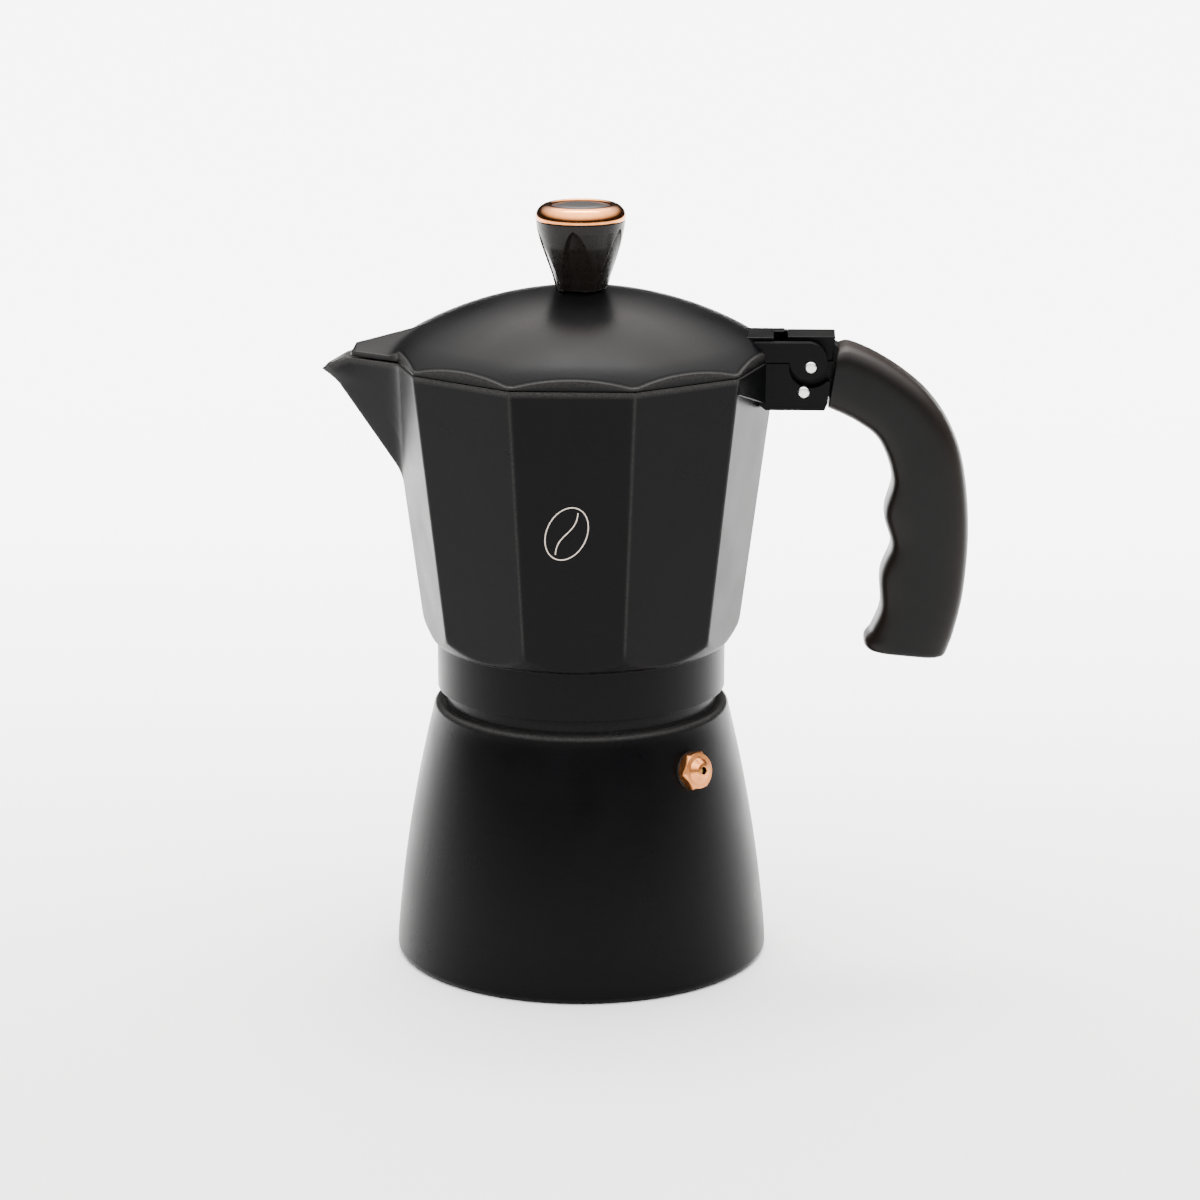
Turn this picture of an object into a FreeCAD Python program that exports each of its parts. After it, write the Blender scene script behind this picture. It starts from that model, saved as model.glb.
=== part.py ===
import FreeCAD, Part
import math
import os
import Sketcher
from FreeCAD import Placement, Rotation, Vector

# A stovetop moka pot, taken apart into the pieces it is really made of.
# Millimetres.  Origin: centre of the boiler's flat underside.  +Z up, handle towards +X,
# spout towards -X.  The upper chamber and the lid are ten-sided, with corners on the X axis.

doc = FreeCAD.newDocument("MokaPot")
sheet = doc.addObject("Spreadsheet::Sheet", "Sizes")

DIMENSIONS = {
    # boiler: a cast cup with a bowed wall, a shoulder and a threaded neck
    "base_radius": 50.0,
    "foot_round": 3.0,
    "wall_foot_radius": 49.9,
    "wall_foot_height": 2.9,
    "wall_bow": 395.0,
    "wall_top_radius": 39.3,
    "wall_top_height": 68.7,
    "shoulder_height": 69.8,
    "shoulder_round": 1.2,
    "band_radius": 36.1,
    "band_top": 73.45,
    "boiler_wall": 3.0,
    "boiler_floor": 4.0,
    "mouth_radius": 30.3,
    "boiler_rim": 84.0,
    # the joining thread, relieved so that the two halves pass each other
    "thread_root": 35.1,
    "thread_crest": 36.0,
    "thread_start": 74.3,
    "thread_pitch": 2.4,
    "skirt_bore": 36.3,
    "skirt_thread_depth": 0.7,
    # collector: skirt, ten-sided cup, gasket seat
    "skirt_radius": 38.4,
    "skirt_bottom": 73.75,
    "skirt_top": 86.0,
    "edge_break": 0.3,
    "cup_bottom": 84.0,
    "cup_bottom_corner": 41.43,
    "cup_rim": 163.2,
    "cup_rim_corner": 51.8,
    "cup_wall": 2.5,
    "cup_floor": 93.5,
    "boss_top": 96.5,
    "boss_radius": 9.0,
    "seat_step": 84.35,
    "seat_radius": 33.1,
    "seat_ceiling": 88.3,
    "plate_recess_radius": 29.7,
    "plate_recess_top": 89.2,
    "underfloor_radius": 27.5,
    "underfloor_top": 93.3,
    "riser_fit": 5.0,
    # riser column
    "riser_bore": 3.1,
    "riser_flange": 8.0,
    "riser_foot": 6.6,
    "riser_neck": 5.4,
    "riser_cap": 7.2,
    "riser_top": 154.0,
    "port_width": 3.6,
    "port_bottom": 142.5,
    "port_top": 147.5,
    # spout: a V-shaped beak on the -X corner
    "spout_foot": 48.0,
    "spout_foot_height": 132.3,
    "spout_slope": 1.458,
    "spout_flare": 0.6465,
    "spout_top": 163.0,
    "spout_back": 46.5,
    "spout_dip_start": 60.5,
    "beak_knee": 64.8,
    "beak_tip": 68.6,
    "beak_tip_height": 159.2,
    "spout_wall_run": 3.0,
    # hinge bracket, cast on the +X corner
    "hinge_x": 60.3,
    "hinge_z": 162.2,
    "pin_radius": 1.5,
    "handle_pin_x": 58.5,
    "handle_pin_z": 155.6,
    "cheek_half_width": 9.8,
    "tower_half_width": 5.4,
    "bracket_bottom": 150.7,
    "bracket_ledge": 163.15,
    "tower_top": 169.5,
    "tower_back": 54.2,
    "slot_half_width": 3.6,
    "ear_recess": 5.5,
    "recess_depth_at": 6.7,
    "wing_bottom_far": 158.9,
    # lid
    "lid_bottom": 163.4,
    "lid_corner": 51.6,
    "dome_radius": 92.0,
    "dome_top": 181.2,
    "dome_pad": 8.0,
    "dome_break": 46.0,
    "dome_break_height": 168.97,
    "lid_wall": 1.8,
    "lip_outer": 46.3,
    "lip_inner": 44.9,
    "lip_bottom": 161.0,
    "ear_x": 59.7,
    "ear_z": 163.7,
    "ear_radius": 4.85,
    "ear_inside": 6.9,
    "ear_outside": 9.9,
    "ear_hole": 1.55,
    # knob and what holds it
    "knob_bottom": 181.3,
    "knob_foot": 7.3,
    "knob_shoulder": 11.2,
    "knob_shoulder_height": 198.6,
    "ring_outer": 11.8,
    "ring_inner": 7.8,
    "ring_top": 203.2,
    "screw_hole": 2.2,
    "screw_radius": 2.0,
    "insert_radius": 3.2,
    # funnel, gasket and filter plate
    "funnel_rim_radius": 32.6,
    "funnel_rim_bottom": 84.05,
    "funnel_sheet": 0.8,
    "basket_radius": 29.4,
    "basket_bottom": 61.0,
    "funnel_throat": 56.5,
    "stem_radius": 5.0,
    "stem_bore": 4.3,
    "stem_end": 11.5,
    "screen_radius": 28.5,
    "screen_thickness": 0.6,
    "gasket_outer": 32.8,
    "gasket_inner": 27.6,
    "gasket_bottom": 84.9,
    "gasket_top": 88.25,
    "plate_radius": 29.4,
    "plate_thickness": 0.8,
    # safety valve, on the boiler wall
    "valve_radius": 41.4,
    "valve_height": 58.0,
    "valve_azimuth": -43.5,
    "valve_tilt": 12.5,
    "hex_corner": 5.4,
    "hex_bottom": 0.6,
    "hex_top": 3.5,
    "nozzle_top": 5.1,
    "nozzle_bore": 1.2,
    "shank_radius": 4.0,
    "shank_end": -8.0,
    "chamber_radius": 2.6,
    "chamber_top": 3.2,
    "spring_radius": 1.8,
    "spring_wire": 0.25,
    "poppet_radius": 2.2,
    "poppet_stem": 0.9,
    # handle
    "handle_half_width": 9.0,
    "tongue_half_width": 3.5,
    "handle_round": 3.0,
}

for row, (alias, value) in enumerate(DIMENSIONS.items(), start=1):
    sheet.set("A%d" % row, alias)
    sheet.set("B%d" % row, str(value))
    sheet.setAlias("B%d" % row, alias)
doc.recompute()


class Size:
    """A length together with the spreadsheet expression that gives it."""

    def __init__(self, value, text):
        self.value = value
        self.text = text

    def __add__(self, other):
        other = as_size(other)
        return Size(self.value + other.value, "(%s + %s)" % (self.text, other.text))

    def __sub__(self, other):
        other = as_size(other)
        return Size(self.value - other.value, "(%s - %s)" % (self.text, other.text))

    def __mul__(self, other):
        other = as_size(other)
        return Size(self.value * other.value, "(%s * %s)" % (self.text, other.text))

    def __truediv__(self, other):
        other = as_size(other)
        return Size(self.value / other.value, "(%s / %s)" % (self.text, other.text))

    def __neg__(self):
        return Size(-self.value, "(-%s)" % self.text)


def as_size(number):
    """Return a Size; a bare number stands for itself."""
    if isinstance(number, Size):
        return number
    return Size(float(number), "(%r)" % float(number))


def cap_radius(half_width, rise):
    """Radius of a dome whose top lies on the axis, from its half width and its rise."""
    half_width = as_size(half_width)
    return (half_width * half_width + rise * rise) / (rise * 2.0)


def size(alias):
    """Return the driving dimension of that name, read from the spreadsheet."""
    return Size(float(getattr(sheet, alias)), "Sizes." + alias)


def bind(thing, prop, number):
    """Drive one property of an object from the spreadsheet."""
    thing.setExpression(prop, as_size(number).text)


# ---------------------------------------------------------------- sketches and simple shapes


def new_body(label):
    return doc.addObject("PartDesign::Body", label)


def new_sketch(body, name, plane="XZ_Plane"):
    """A sketch on one of the body's own origin planes."""
    sketch = body.newObject("Sketcher::SketchObject", name)
    origin_planes = body.Origin.OriginFeatures
    sketch.AttachmentSupport = [(next(f for f in origin_planes if f.Role == plane), "")]
    sketch.MapMode = "FlatFace"
    return sketch


def place_corner(sketch, edge, end, across, up):
    """Fix one corner of a sketch at (across, up), each driven from the spreadsheet."""
    for kind, axis, number in (("DistanceX", -2, across), ("DistanceY", -1, up)):
        if number.value == 0.0:
            sketch.addConstraint(Sketcher.Constraint("PointOnObject", edge, end, axis))
        else:
            index = sketch.addConstraint(Sketcher.Constraint(kind, edge, end, number.value))
            sketch.setExpression("Constraints[%d]" % index, number.text)


def arc_edge(start, finish, radius):
    """Arc from start to finish; a positive radius turns left, a negative one right."""
    chord = finish - start
    rise = math.sqrt(radius * radius - chord.Length ** 2 / 4.0)
    side = Vector(-chord.y, chord.x, 0).normalize()
    centre = start + chord * 0.5 + side * math.copysign(rise, radius)
    first, last = (start, finish) if radius > 0 else (finish, start)
    circle = Part.Circle(centre, Vector(0, 0, 1), abs(radius))
    begin = math.atan2(first.y - centre.y, first.x - centre.x)
    end = math.atan2(last.y - centre.y, last.x - centre.x)
    return Part.ArcOfCircle(circle, begin, end)


def outline(sketch, corners):
    """Closed outline through corners (across, up) or (across, up, radius of the arc to it)."""
    corners = [tuple(as_size(number) for number in corner) for corner in corners]
    points = [Vector(corner[0].value, corner[1].value, 0) for corner in corners]
    starts = []
    ends = []
    for place, corner in enumerate(corners):
        start = points[place - 1]
        finish = points[place]
        if len(corner) == 2:
            edge = sketch.addGeometry(Part.LineSegment(start, finish))
            starts.append((edge, 1))
            ends.append((edge, 2))
            continue
        radius = corner[2]
        edge = sketch.addGeometry(arc_edge(start, finish, radius.value))
        turns_left = radius.value > 0
        starts.append((edge, 1 if turns_left else 2))
        ends.append((edge, 2 if turns_left else 1))
        index = sketch.addConstraint(Sketcher.Constraint("Radius", edge, abs(radius.value)))
        sketch.setExpression("Constraints[%d]" % index, radius.text if turns_left else (-radius).text)
    for place, corner in enumerate(corners):
        following = starts[(place + 1) % len(corners)]
        sketch.addConstraint(Sketcher.Constraint("Coincident", *ends[place], *following))
        place_corner(sketch, ends[place][0], ends[place][1], corner[0], corner[1])


def turned(label, corners):
    """A body of revolution about Z, from half its section (radius, height)."""
    body = new_body(label)
    sketch = new_sketch(body, label + "_section")
    outline(sketch, corners)
    revolution = body.newObject("PartDesign::Revolution", label + "_turning")
    revolution.Profile = (sketch, [""])
    revolution.ReferenceAxis = (sketch, ["V_Axis"])
    revolution.Angle = 360.0
    sketch.Visibility = False
    return body


def side_plate(label, corners, half_width):
    """A plate of the given half width about the XZ plane, from its side outline (x, z)."""
    body = new_body(label)
    sketch = new_sketch(body, label + "_side")
    outline(sketch, corners)
    pad = body.newObject("PartDesign::Pad", label + "_pad")
    pad.Profile = (sketch, [""])
    pad.Midplane = True
    bind(pad, "Length", half_width * 2.0)
    return body


def move_to(thing, corner):
    """Drive the place of an object's own origin from the spreadsheet."""
    for axis, number in zip("xyz", corner):
        bind(thing, "Placement.Base." + axis, number)


def block(name, low, high):
    """A box between two opposite corners."""
    box = doc.addObject("Part::Box", name)
    low = [as_size(number) for number in low]
    high = [as_size(number) for number in high]
    for prop, start, end in zip(("Length", "Width", "Height"), low, high):
        bind(box, prop, end - start)
    move_to(box, low)
    return box


def rod(name, radius, length, foot, direction=Vector(0, 0, 1)):
    """A cylinder standing on foot and pointing along direction."""
    cylinder = doc.addObject("Part::Cylinder", name)
    bind(cylinder, "Radius", radius)
    bind(cylinder, "Height", length)
    cylinder.Placement = Placement(Vector(0, 0, 0), Rotation(Vector(0, 0, 1), direction))
    move_to(cylinder, foot)
    return cylinder


def cross_rod(name, radius, half_length, across, up):
    """A cylinder along Y, centred on the XZ plane."""
    return rod(name, radius, half_length * 2.0, (across, half_length, up), Vector(0, -1, 0))


def ten_sided(name, corner_radius, height):
    """A regular ten-sided wire with corners on the X axis."""
    polygon = doc.addObject("Part::RegularPolygon", name)
    polygon.Polygon = 10
    bind(polygon, "Circumradius", corner_radius)
    bind(polygon, "Placement.Base.z", height)
    return polygon


def ten_sided_taper(name, low_corner, low_height, high_corner, high_height):
    """A solid between two ten-sided wires."""
    loft = doc.addObject("Part::Loft", name)
    low = ten_sided(name + "_low", low_corner, low_height)
    high = ten_sided(name + "_high", high_corner, high_height)
    loft.Sections = [low, high]
    loft.Solid = True
    loft.Ruled = True
    return loft


def flat_faced(name, points, faces):
    """A solid with flat faces, given its corners and the corner numbers of each face."""
    places = [Vector(*[as_size(number).value for number in point]) for point in points]
    shells = []
    for face in faces:
        wire = Part.makePolygon([places[number] for number in face] + [places[face[0]]])
        shells.append(Part.Face(wire))
    solid = Part.Solid(Part.Shell(shells))
    if solid.Volume < 0:
        solid.reverse()
    feature = doc.addObject("Part::Feature", name)
    feature.Shape = solid
    return feature


def fuse(name, *pieces):
    fusion = doc.addObject("Part::MultiFuse", name)
    fusion.Shapes = list(pieces)
    fusion.Refine = True
    return fusion


def common(name, *pieces):
    overlap = doc.addObject("Part::MultiCommon", name)
    overlap.Shapes = list(pieces)
    return overlap


def cut(name, base, *tools):
    """Take one or more tools away from a base."""
    tool = tools[0] if len(tools) == 1 else fuse(name + "_tools", *tools)
    result = doc.addObject("Part::Cut", name)
    result.Base = base
    result.Tool = tool
    result.Refine = True
    return result


def ring_of_holes(sketch, hole_radius, rings, spacing):
    """Round holes: one in the middle, then rings of 6, 12, 18 and so on."""
    sketch.addGeometry(Part.Circle(Vector(0, 0, 0), Vector(0, 0, 1), hole_radius))
    for ring in range(1, rings + 1):
        count = 6 * ring
        for step in range(count):
            angle = 2.0 * math.pi * step / count
            centre = Vector(ring * spacing * math.cos(angle), ring * spacing * math.sin(angle), 0)
            sketch.addGeometry(Part.Circle(centre, Vector(0, 0, 1), hole_radius))


def perforated_disc(label, radius, thickness, height, hole_radius, rings, spacing):
    """A flat round sheet with punched holes, its underside at the given height."""
    body = new_body(label)
    rim = new_sketch(body, label + "_rim", "XY_Plane")
    circle = rim.addGeometry(Part.Circle(Vector(0, 0, 0), Vector(0, 0, 1), radius.value))
    rim.addConstraint(Sketcher.Constraint("Coincident", circle, 3, -1, 1))
    index = rim.addConstraint(Sketcher.Constraint("Radius", circle, radius.value))
    rim.setExpression("Constraints[%d]" % index, radius.text)
    pad = body.newObject("PartDesign::Pad", label + "_sheet")
    pad.Profile = (rim, [""])
    bind(pad, "Length", thickness)
    doc.recompute()
    holes = new_sketch(body, label + "_holes", "XY_Plane")
    ring_of_holes(holes, hole_radius, rings, spacing)
    pocket = body.newObject("PartDesign::Pocket", label + "_punching")
    pocket.Profile = (holes, [""])
    pocket.Type = "ThroughAll"
    pocket.Midplane = True
    bind(body, "Placement.Base.z", height)
    doc.recompute()
    solid_disc = math.pi * radius.value ** 2 * thickness.value
    if body.Shape.Volume > solid_disc - 1.0:
        raise RuntimeError(label + ": the holes were not punched")
    return body


nodes = {}


def keep(node, thing):
    """Name an object as the sub-part that is written to parts/NODE.step."""
    thing.Label = node
    nodes[node] = thing


# ---------------------------------------------------------------- boiler


def thread_ridges(root, crest, start, count):
    """Corners of a row of thread ridges on a section, going up."""
    pitch = size("thread_pitch")
    corners = []
    for turn in range(count):
        foot = start + pitch * float(turn)
        corners += [(root, foot), (crest, foot + 0.7), (crest, foot + 1.1), (root, foot + 1.8)]
    return corners


def valve_frame():
    """Placement whose +Z is the valve's axis, outwards, and whose origin is its seat."""
    azimuth = math.radians(size("valve_azimuth").value)
    tilt = math.radians(size("valve_tilt").value)
    radius = size("valve_radius").value
    seat = Vector(radius * math.cos(azimuth), radius * math.sin(azimuth), size("valve_height").value)
    outwards = Vector(math.cos(tilt) * math.cos(azimuth), math.cos(tilt) * math.sin(azimuth), math.sin(tilt))
    return Placement(seat, Rotation(Vector(0, 0, 1), outwards))


def make_boiler():
    """Cast cup: flat foot, bowed wall, shoulder, plain band, threaded neck, hollow inside."""
    wall = size("boiler_wall")
    outside = [
        (size("base_radius") - size("foot_round"), 0),
        (size("wall_foot_radius"), size("wall_foot_height"), size("foot_round")),
        (size("wall_top_radius"), size("wall_top_height"), size("wall_bow")),
        (size("wall_top_radius") - 1.0, size("shoulder_height"), size("shoulder_round")),
        (size("band_radius"), size("shoulder_height")),
        (size("band_radius"), size("band_top")),
        (size("thread_root"), size("band_top")),
    ]
    ridges = thread_ridges(size("thread_root"), size("thread_crest"), size("thread_start"), 4)
    inside = [
        (size("thread_root"), size("boiler_rim")),
        (size("mouth_radius"), size("boiler_rim")),
        (size("mouth_radius"), size("boiler_rim") - 8.0),
        (size("wall_top_radius") - wall, size("wall_top_height") - 1.0),
        (size("wall_foot_radius") - wall, size("boiler_floor") + 5.0, -(size("wall_bow") - wall)),
        (size("wall_foot_radius") - wall - 5.0, size("boiler_floor"), -5.2),
        (0, size("boiler_floor")),
    ]
    casting = turned("boiler_casting", [(0, 0)] + outside + ridges + inside)
    hole = rod("valve_hole", size("shank_radius"), 30.0, (0, 0, 0))
    spot_face = rod("valve_spot_face", size("hex_corner") + 0.7, 6.0, (0, 0, 0))
    for tool, offset in ((hole, -15.0), (spot_face, 0.0)):
        for axis in "xyz":
            tool.setExpression("Placement.Base." + axis, None)
        tool.Placement = valve_frame().multiply(Placement(Vector(0, 0, offset), Rotation()))
    keep("boiler", cut("boiler", casting, hole, spot_face))


# ---------------------------------------------------------------- safety valve


def make_safety_valve():
    """Hexagon body with a domed nozzle, sealing washer, poppet, spring and crimped seat."""
    hexagon = doc.addObject("Part::Prism", "valve_hexagon")
    hexagon.Polygon = 6
    bind(hexagon, "Circumradius", size("hex_corner"))
    bind(hexagon, "Height", size("hex_top") - size("hex_bottom"))
    bind(hexagon, "Placement.Base.z", size("hex_bottom"))
    shank = turned("valve_shank", [
        (0, size("shank_end")),
        (size("shank_radius"), size("shank_end")),
        (size("shank_radius"), size("hex_bottom") + 0.5),
        (size("hex_corner") - 1.2, size("hex_top")),
        (size("hex_corner") - 2.0, size("hex_top") + 0.3),
        (size("nozzle_bore") + 0.8, size("nozzle_top"), 3.6),
        (0, size("nozzle_top")),
    ])
    bores = turned("valve_bores", [
        (0, size("shank_end") - 1.0),
        (size("chamber_radius"), size("shank_end") - 1.0),
        (size("chamber_radius"), size("chamber_top")),
        (size("nozzle_bore"), size("chamber_top")),
        (size("nozzle_bore"), size("nozzle_top") + 1.0),
        (0, size("nozzle_top") + 1.0),
    ])
    valve_body = cut("valve_body", fuse("valve_turned", hexagon, shank), bores)
    washer = turned("valve_washer", [
        (size("shank_radius") + 0.1, 0),
        (size("hex_corner") - 0.3, 0),
        (size("hex_corner") - 0.3, size("hex_bottom")),
        (size("shank_radius") + 0.1, size("hex_bottom")),
    ])
    seat = turned("valve_seat", [
        (1.1, size("shank_end")),
        (size("chamber_radius"), size("shank_end")),
        (size("chamber_radius"), size("shank_end") + 1.2),
        (1.1, size("shank_end") + 1.2),
    ])
    poppet = turned("valve_poppet", [
        (0, size("shank_end") + 1.25),
        (size("poppet_radius"), size("shank_end") + 1.25),
        (size("poppet_radius"), size("shank_end") + 2.4),
        (size("poppet_stem"), size("shank_end") + 2.4),
        (size("poppet_stem"), size("hex_top") + 0.6),
        (0, size("hex_top") + 0.9),
    ])
    spring_foot = size("shank_end") + 2.4 + size("spring_wire") + 0.05
    helix = doc.addObject("Part::Helix", "valve_spring_line")
    bind(helix, "Radius", size("spring_radius"))
    bind(helix, "Height", size("chamber_top") - spring_foot - size("spring_wire") - 0.05)
    bind(helix, "Pitch", 1.35)
    bind(helix, "Placement.Base.z", spring_foot)
    wire = doc.addObject("Part::Circle", "valve_spring_wire")
    bind(wire, "Radius", size("spring_wire"))
    wire.Placement = Placement(Vector(0, 0, 0), Rotation(Vector(1, 0, 0), 90))
    move_to(wire, (size("spring_radius"), as_size(0), spring_foot))
    spring = doc.addObject("Part::Sweep", "valve_spring")
    spring.Sections = [wire]
    spring.Spine = (helix, [])
    spring.Solid = True
    spring.Frenet = True
    doc.recompute()
    for node, thing in (
        ("valve_body", valve_body),
        ("valve_washer", washer),
        ("valve_seat", seat),
        ("valve_poppet", poppet),
        ("valve_spring", spring),
    ):
        thing.Placement = valve_frame()
        keep(node, thing)


# ---------------------------------------------------------------- funnel, gasket, filter plate


def make_funnel():
    """Pressed basket with a flat rim, a punched screen on its floor and a pressed-in stem."""
    sheet_metal = size("funnel_sheet")
    rim_top = size("funnel_rim_bottom") + sheet_metal
    basket = turned("funnel_basket", [
        (size("stem_radius"), size("funnel_throat")),
        (size("stem_radius") + 1.0, size("funnel_throat")),
        (size("basket_radius") - 1.5, size("basket_bottom") - 2.0),
        (size("basket_radius"), size("basket_bottom") - 0.5, 1.8),
        (size("basket_radius"), size("funnel_rim_bottom")),
        (size("funnel_rim_radius"), size("funnel_rim_bottom")),
        (size("funnel_rim_radius"), rim_top),
        (size("basket_radius") - sheet_metal, rim_top),
        (size("basket_radius") - sheet_metal, size("basket_bottom")),
        (size("basket_radius") - 2.4, size("basket_bottom")),
        (size("basket_radius") - 2.4, size("basket_bottom") - 1.0),
        (size("stem_radius"), size("funnel_throat") + 0.9),
    ])
    keep("funnel_basket", basket)
    stem = turned("funnel_stem", [
        (size("stem_bore"), size("stem_end")),
        (size("stem_radius"), size("stem_end")),
        (size("stem_radius"), size("funnel_throat") + 0.9),
        (size("stem_bore"), size("funnel_throat") + 0.9),
    ])
    keep("funnel_stem", stem)
    screen = perforated_disc(
        "funnel_screen", size("screen_radius"), size("screen_thickness"), size("basket_bottom"), 0.8, 5, 5.0
    )
    keep("funnel_screen", screen)


def make_seals():
    """Flat rubber gasket, and the punched filter plate that it holds in place."""
    gasket = turned("gasket", [
        (size("gasket_inner"), size("gasket_bottom") + 0.3),
        (size("gasket_inner") + 0.3, size("gasket_bottom")),
        (size("gasket_outer") - 0.3, size("gasket_bottom")),
        (size("gasket_outer"), size("gasket_bottom") + 0.3),
        (size("gasket_outer"), size("gasket_top")),
        (size("gasket_inner"), size("gasket_top")),
    ])
    keep("gasket", gasket)
    plate = perforated_disc(
        "filter_plate", size("plate_radius"), size("plate_thickness"), size("gasket_top"), 0.6, 7, 3.4
    )
    keep("filter_plate", plate)


# ---------------------------------------------------------------- collector


def spout_ridge(height, run_in=0.0):
    """X of the spout's underside ridge at a height, moved in towards the pot by run_in."""
    rise = as_size(height) - size("spout_foot_height")
    return -(size("spout_foot") - run_in + rise / size("spout_slope"))


def make_spout():
    """Solid beak with flat sides, and the V-shaped channel that is cut out of it."""
    top = size("spout_top")
    back = -size("spout_back")
    dip = -size("spout_dip_start")
    flare = size("spout_flare")
    ridge_top = spout_ridge(top)
    foot_height = size("spout_foot_height") - (size("spout_foot") + back) * size("spout_slope")
    back_half = (back - ridge_top) * flare
    dip_half = (dip - ridge_top) * flare
    knee_height = size("spout_foot_height") + (size("beak_knee") - size("spout_foot")) * size("spout_slope")
    beak = flat_faced("spout_beak", [
        (back, 0, foot_height),
        (back, back_half, top),
        (back, -back_half, top),
        (dip, dip_half, top),
        (dip, -dip_half, top),
        (-size("beak_knee"), 0, knee_height),
        (-size("beak_tip"), 0, size("beak_tip_height")),
    ], [(0, 1, 2), (0, 5, 3, 1), (0, 2, 4, 5), (1, 3, 4, 2), (5, 6, 3), (5, 4, 6), (3, 6, 4)])
    run_in = size("spout_wall_run")
    above = top + 5.0
    inner_back = as_size(-40.0)
    inner_ridge = spout_ridge(above, run_in)
    inner_foot = size("spout_foot_height") - (size("spout_foot") - run_in + inner_back) * size("spout_slope")
    inner_half = (inner_back - inner_ridge) * flare
    channel = flat_faced("spout_channel", [
        (inner_back, 0, inner_foot),
        (inner_back, inner_half, above),
        (inner_back, -inner_half, above),
        (inner_ridge, 0, above),
    ], [(0, 2, 1), (0, 1, 3), (0, 3, 2), (1, 2, 3)])
    return beak, channel


def make_bracket():
    """Lower block, narrower tower, side wings; and the handle slot and ear recesses to cut."""
    lower = side_plate("bracket_lower", [
        (45.0, size("bracket_ledge")),
        (45.0, size("bracket_bottom") + 3.0),
        (48.6, size("bracket_bottom")),
        (64.0, size("bracket_bottom")),
        (64.7, size("bracket_bottom") + 1.6),
        (66.0, size("bracket_ledge")),
    ], size("cheek_half_width"))
    tower = side_plate("bracket_tower", [
        (size("tower_back"), size("bracket_ledge") - 3.0),
        (65.7, size("bracket_ledge") - 3.0),
        (66.7, size("tower_top")),
        (size("tower_back"), size("tower_top")),
    ], size("tower_half_width"))
    wings = []
    apothem = size("cup_rim_corner").value * math.cos(math.radians(18))
    half_side = size("cup_rim_corner").value * math.sin(math.radians(18))
    for side in (-1, 1):
        low_near = size("bracket_bottom").value
        low_far = size("wing_bottom_far").value
        top = size("cup_rim").value
        near = -half_side + 3.0
        far = half_side
        wire = Part.makePolygon([
            Vector(apothem, side * near, low_near), Vector(apothem, side * far, low_far),
            Vector(apothem, side * far, top), Vector(apothem, side * near, top),
            Vector(apothem, side * near, low_near),
        ])
        wing = doc.addObject("Part::Feature", "bracket_wing_%s" % ("left" if side > 0 else "right"))
        wing.Shape = Part.Face(wire).extrude(Vector(-2.2, 0, 0))
        wing.Placement = Placement(Vector(0, 0, 0), Rotation(Vector(0, 0, 1), side * 18.0))
        wings.append(wing)
    slot = side_plate("handle_slot", [
        (53.5, size("bracket_bottom") + 2.2),
        (70.0, size("bracket_bottom") + 2.2),
        (70.0, size("tower_top") - 1.9),
        (57.2, size("tower_top") - 1.9),
        (57.2, 160.5),
        (53.5, 160.5),
    ], size("slot_half_width"))
    recesses = []
    for side in (-1, 1):
        start = size("recess_depth_at") * float(side)
        recess = rod("ear_recess_%s" % ("left" if side > 0 else "right"), size("ear_recess"), 5.0,
                     (size("hinge_x"), start, size("hinge_z")), Vector(0, side, 0))
        low, high = (start - 5.0, start) if side < 0 else (start, start + 5.0)
        swing = block("ear_swing_%s" % ("left" if side > 0 else "right"),
                      (size("hinge_x"), low, size("hinge_z") - 3.9), (68.0, high, size("bracket_ledge") + 1.0))
        recesses += [recess, swing]
    bores = [
        cross_rod("hinge_bore", size("pin_radius"), as_size(12.0), size("hinge_x"), size("hinge_z")),
        cross_rod("handle_bore", size("pin_radius"), as_size(12.0), size("handle_pin_x"), size("handle_pin_z")),
    ]
    return [lower, tower] + wings, [slot] + recesses + bores


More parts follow.
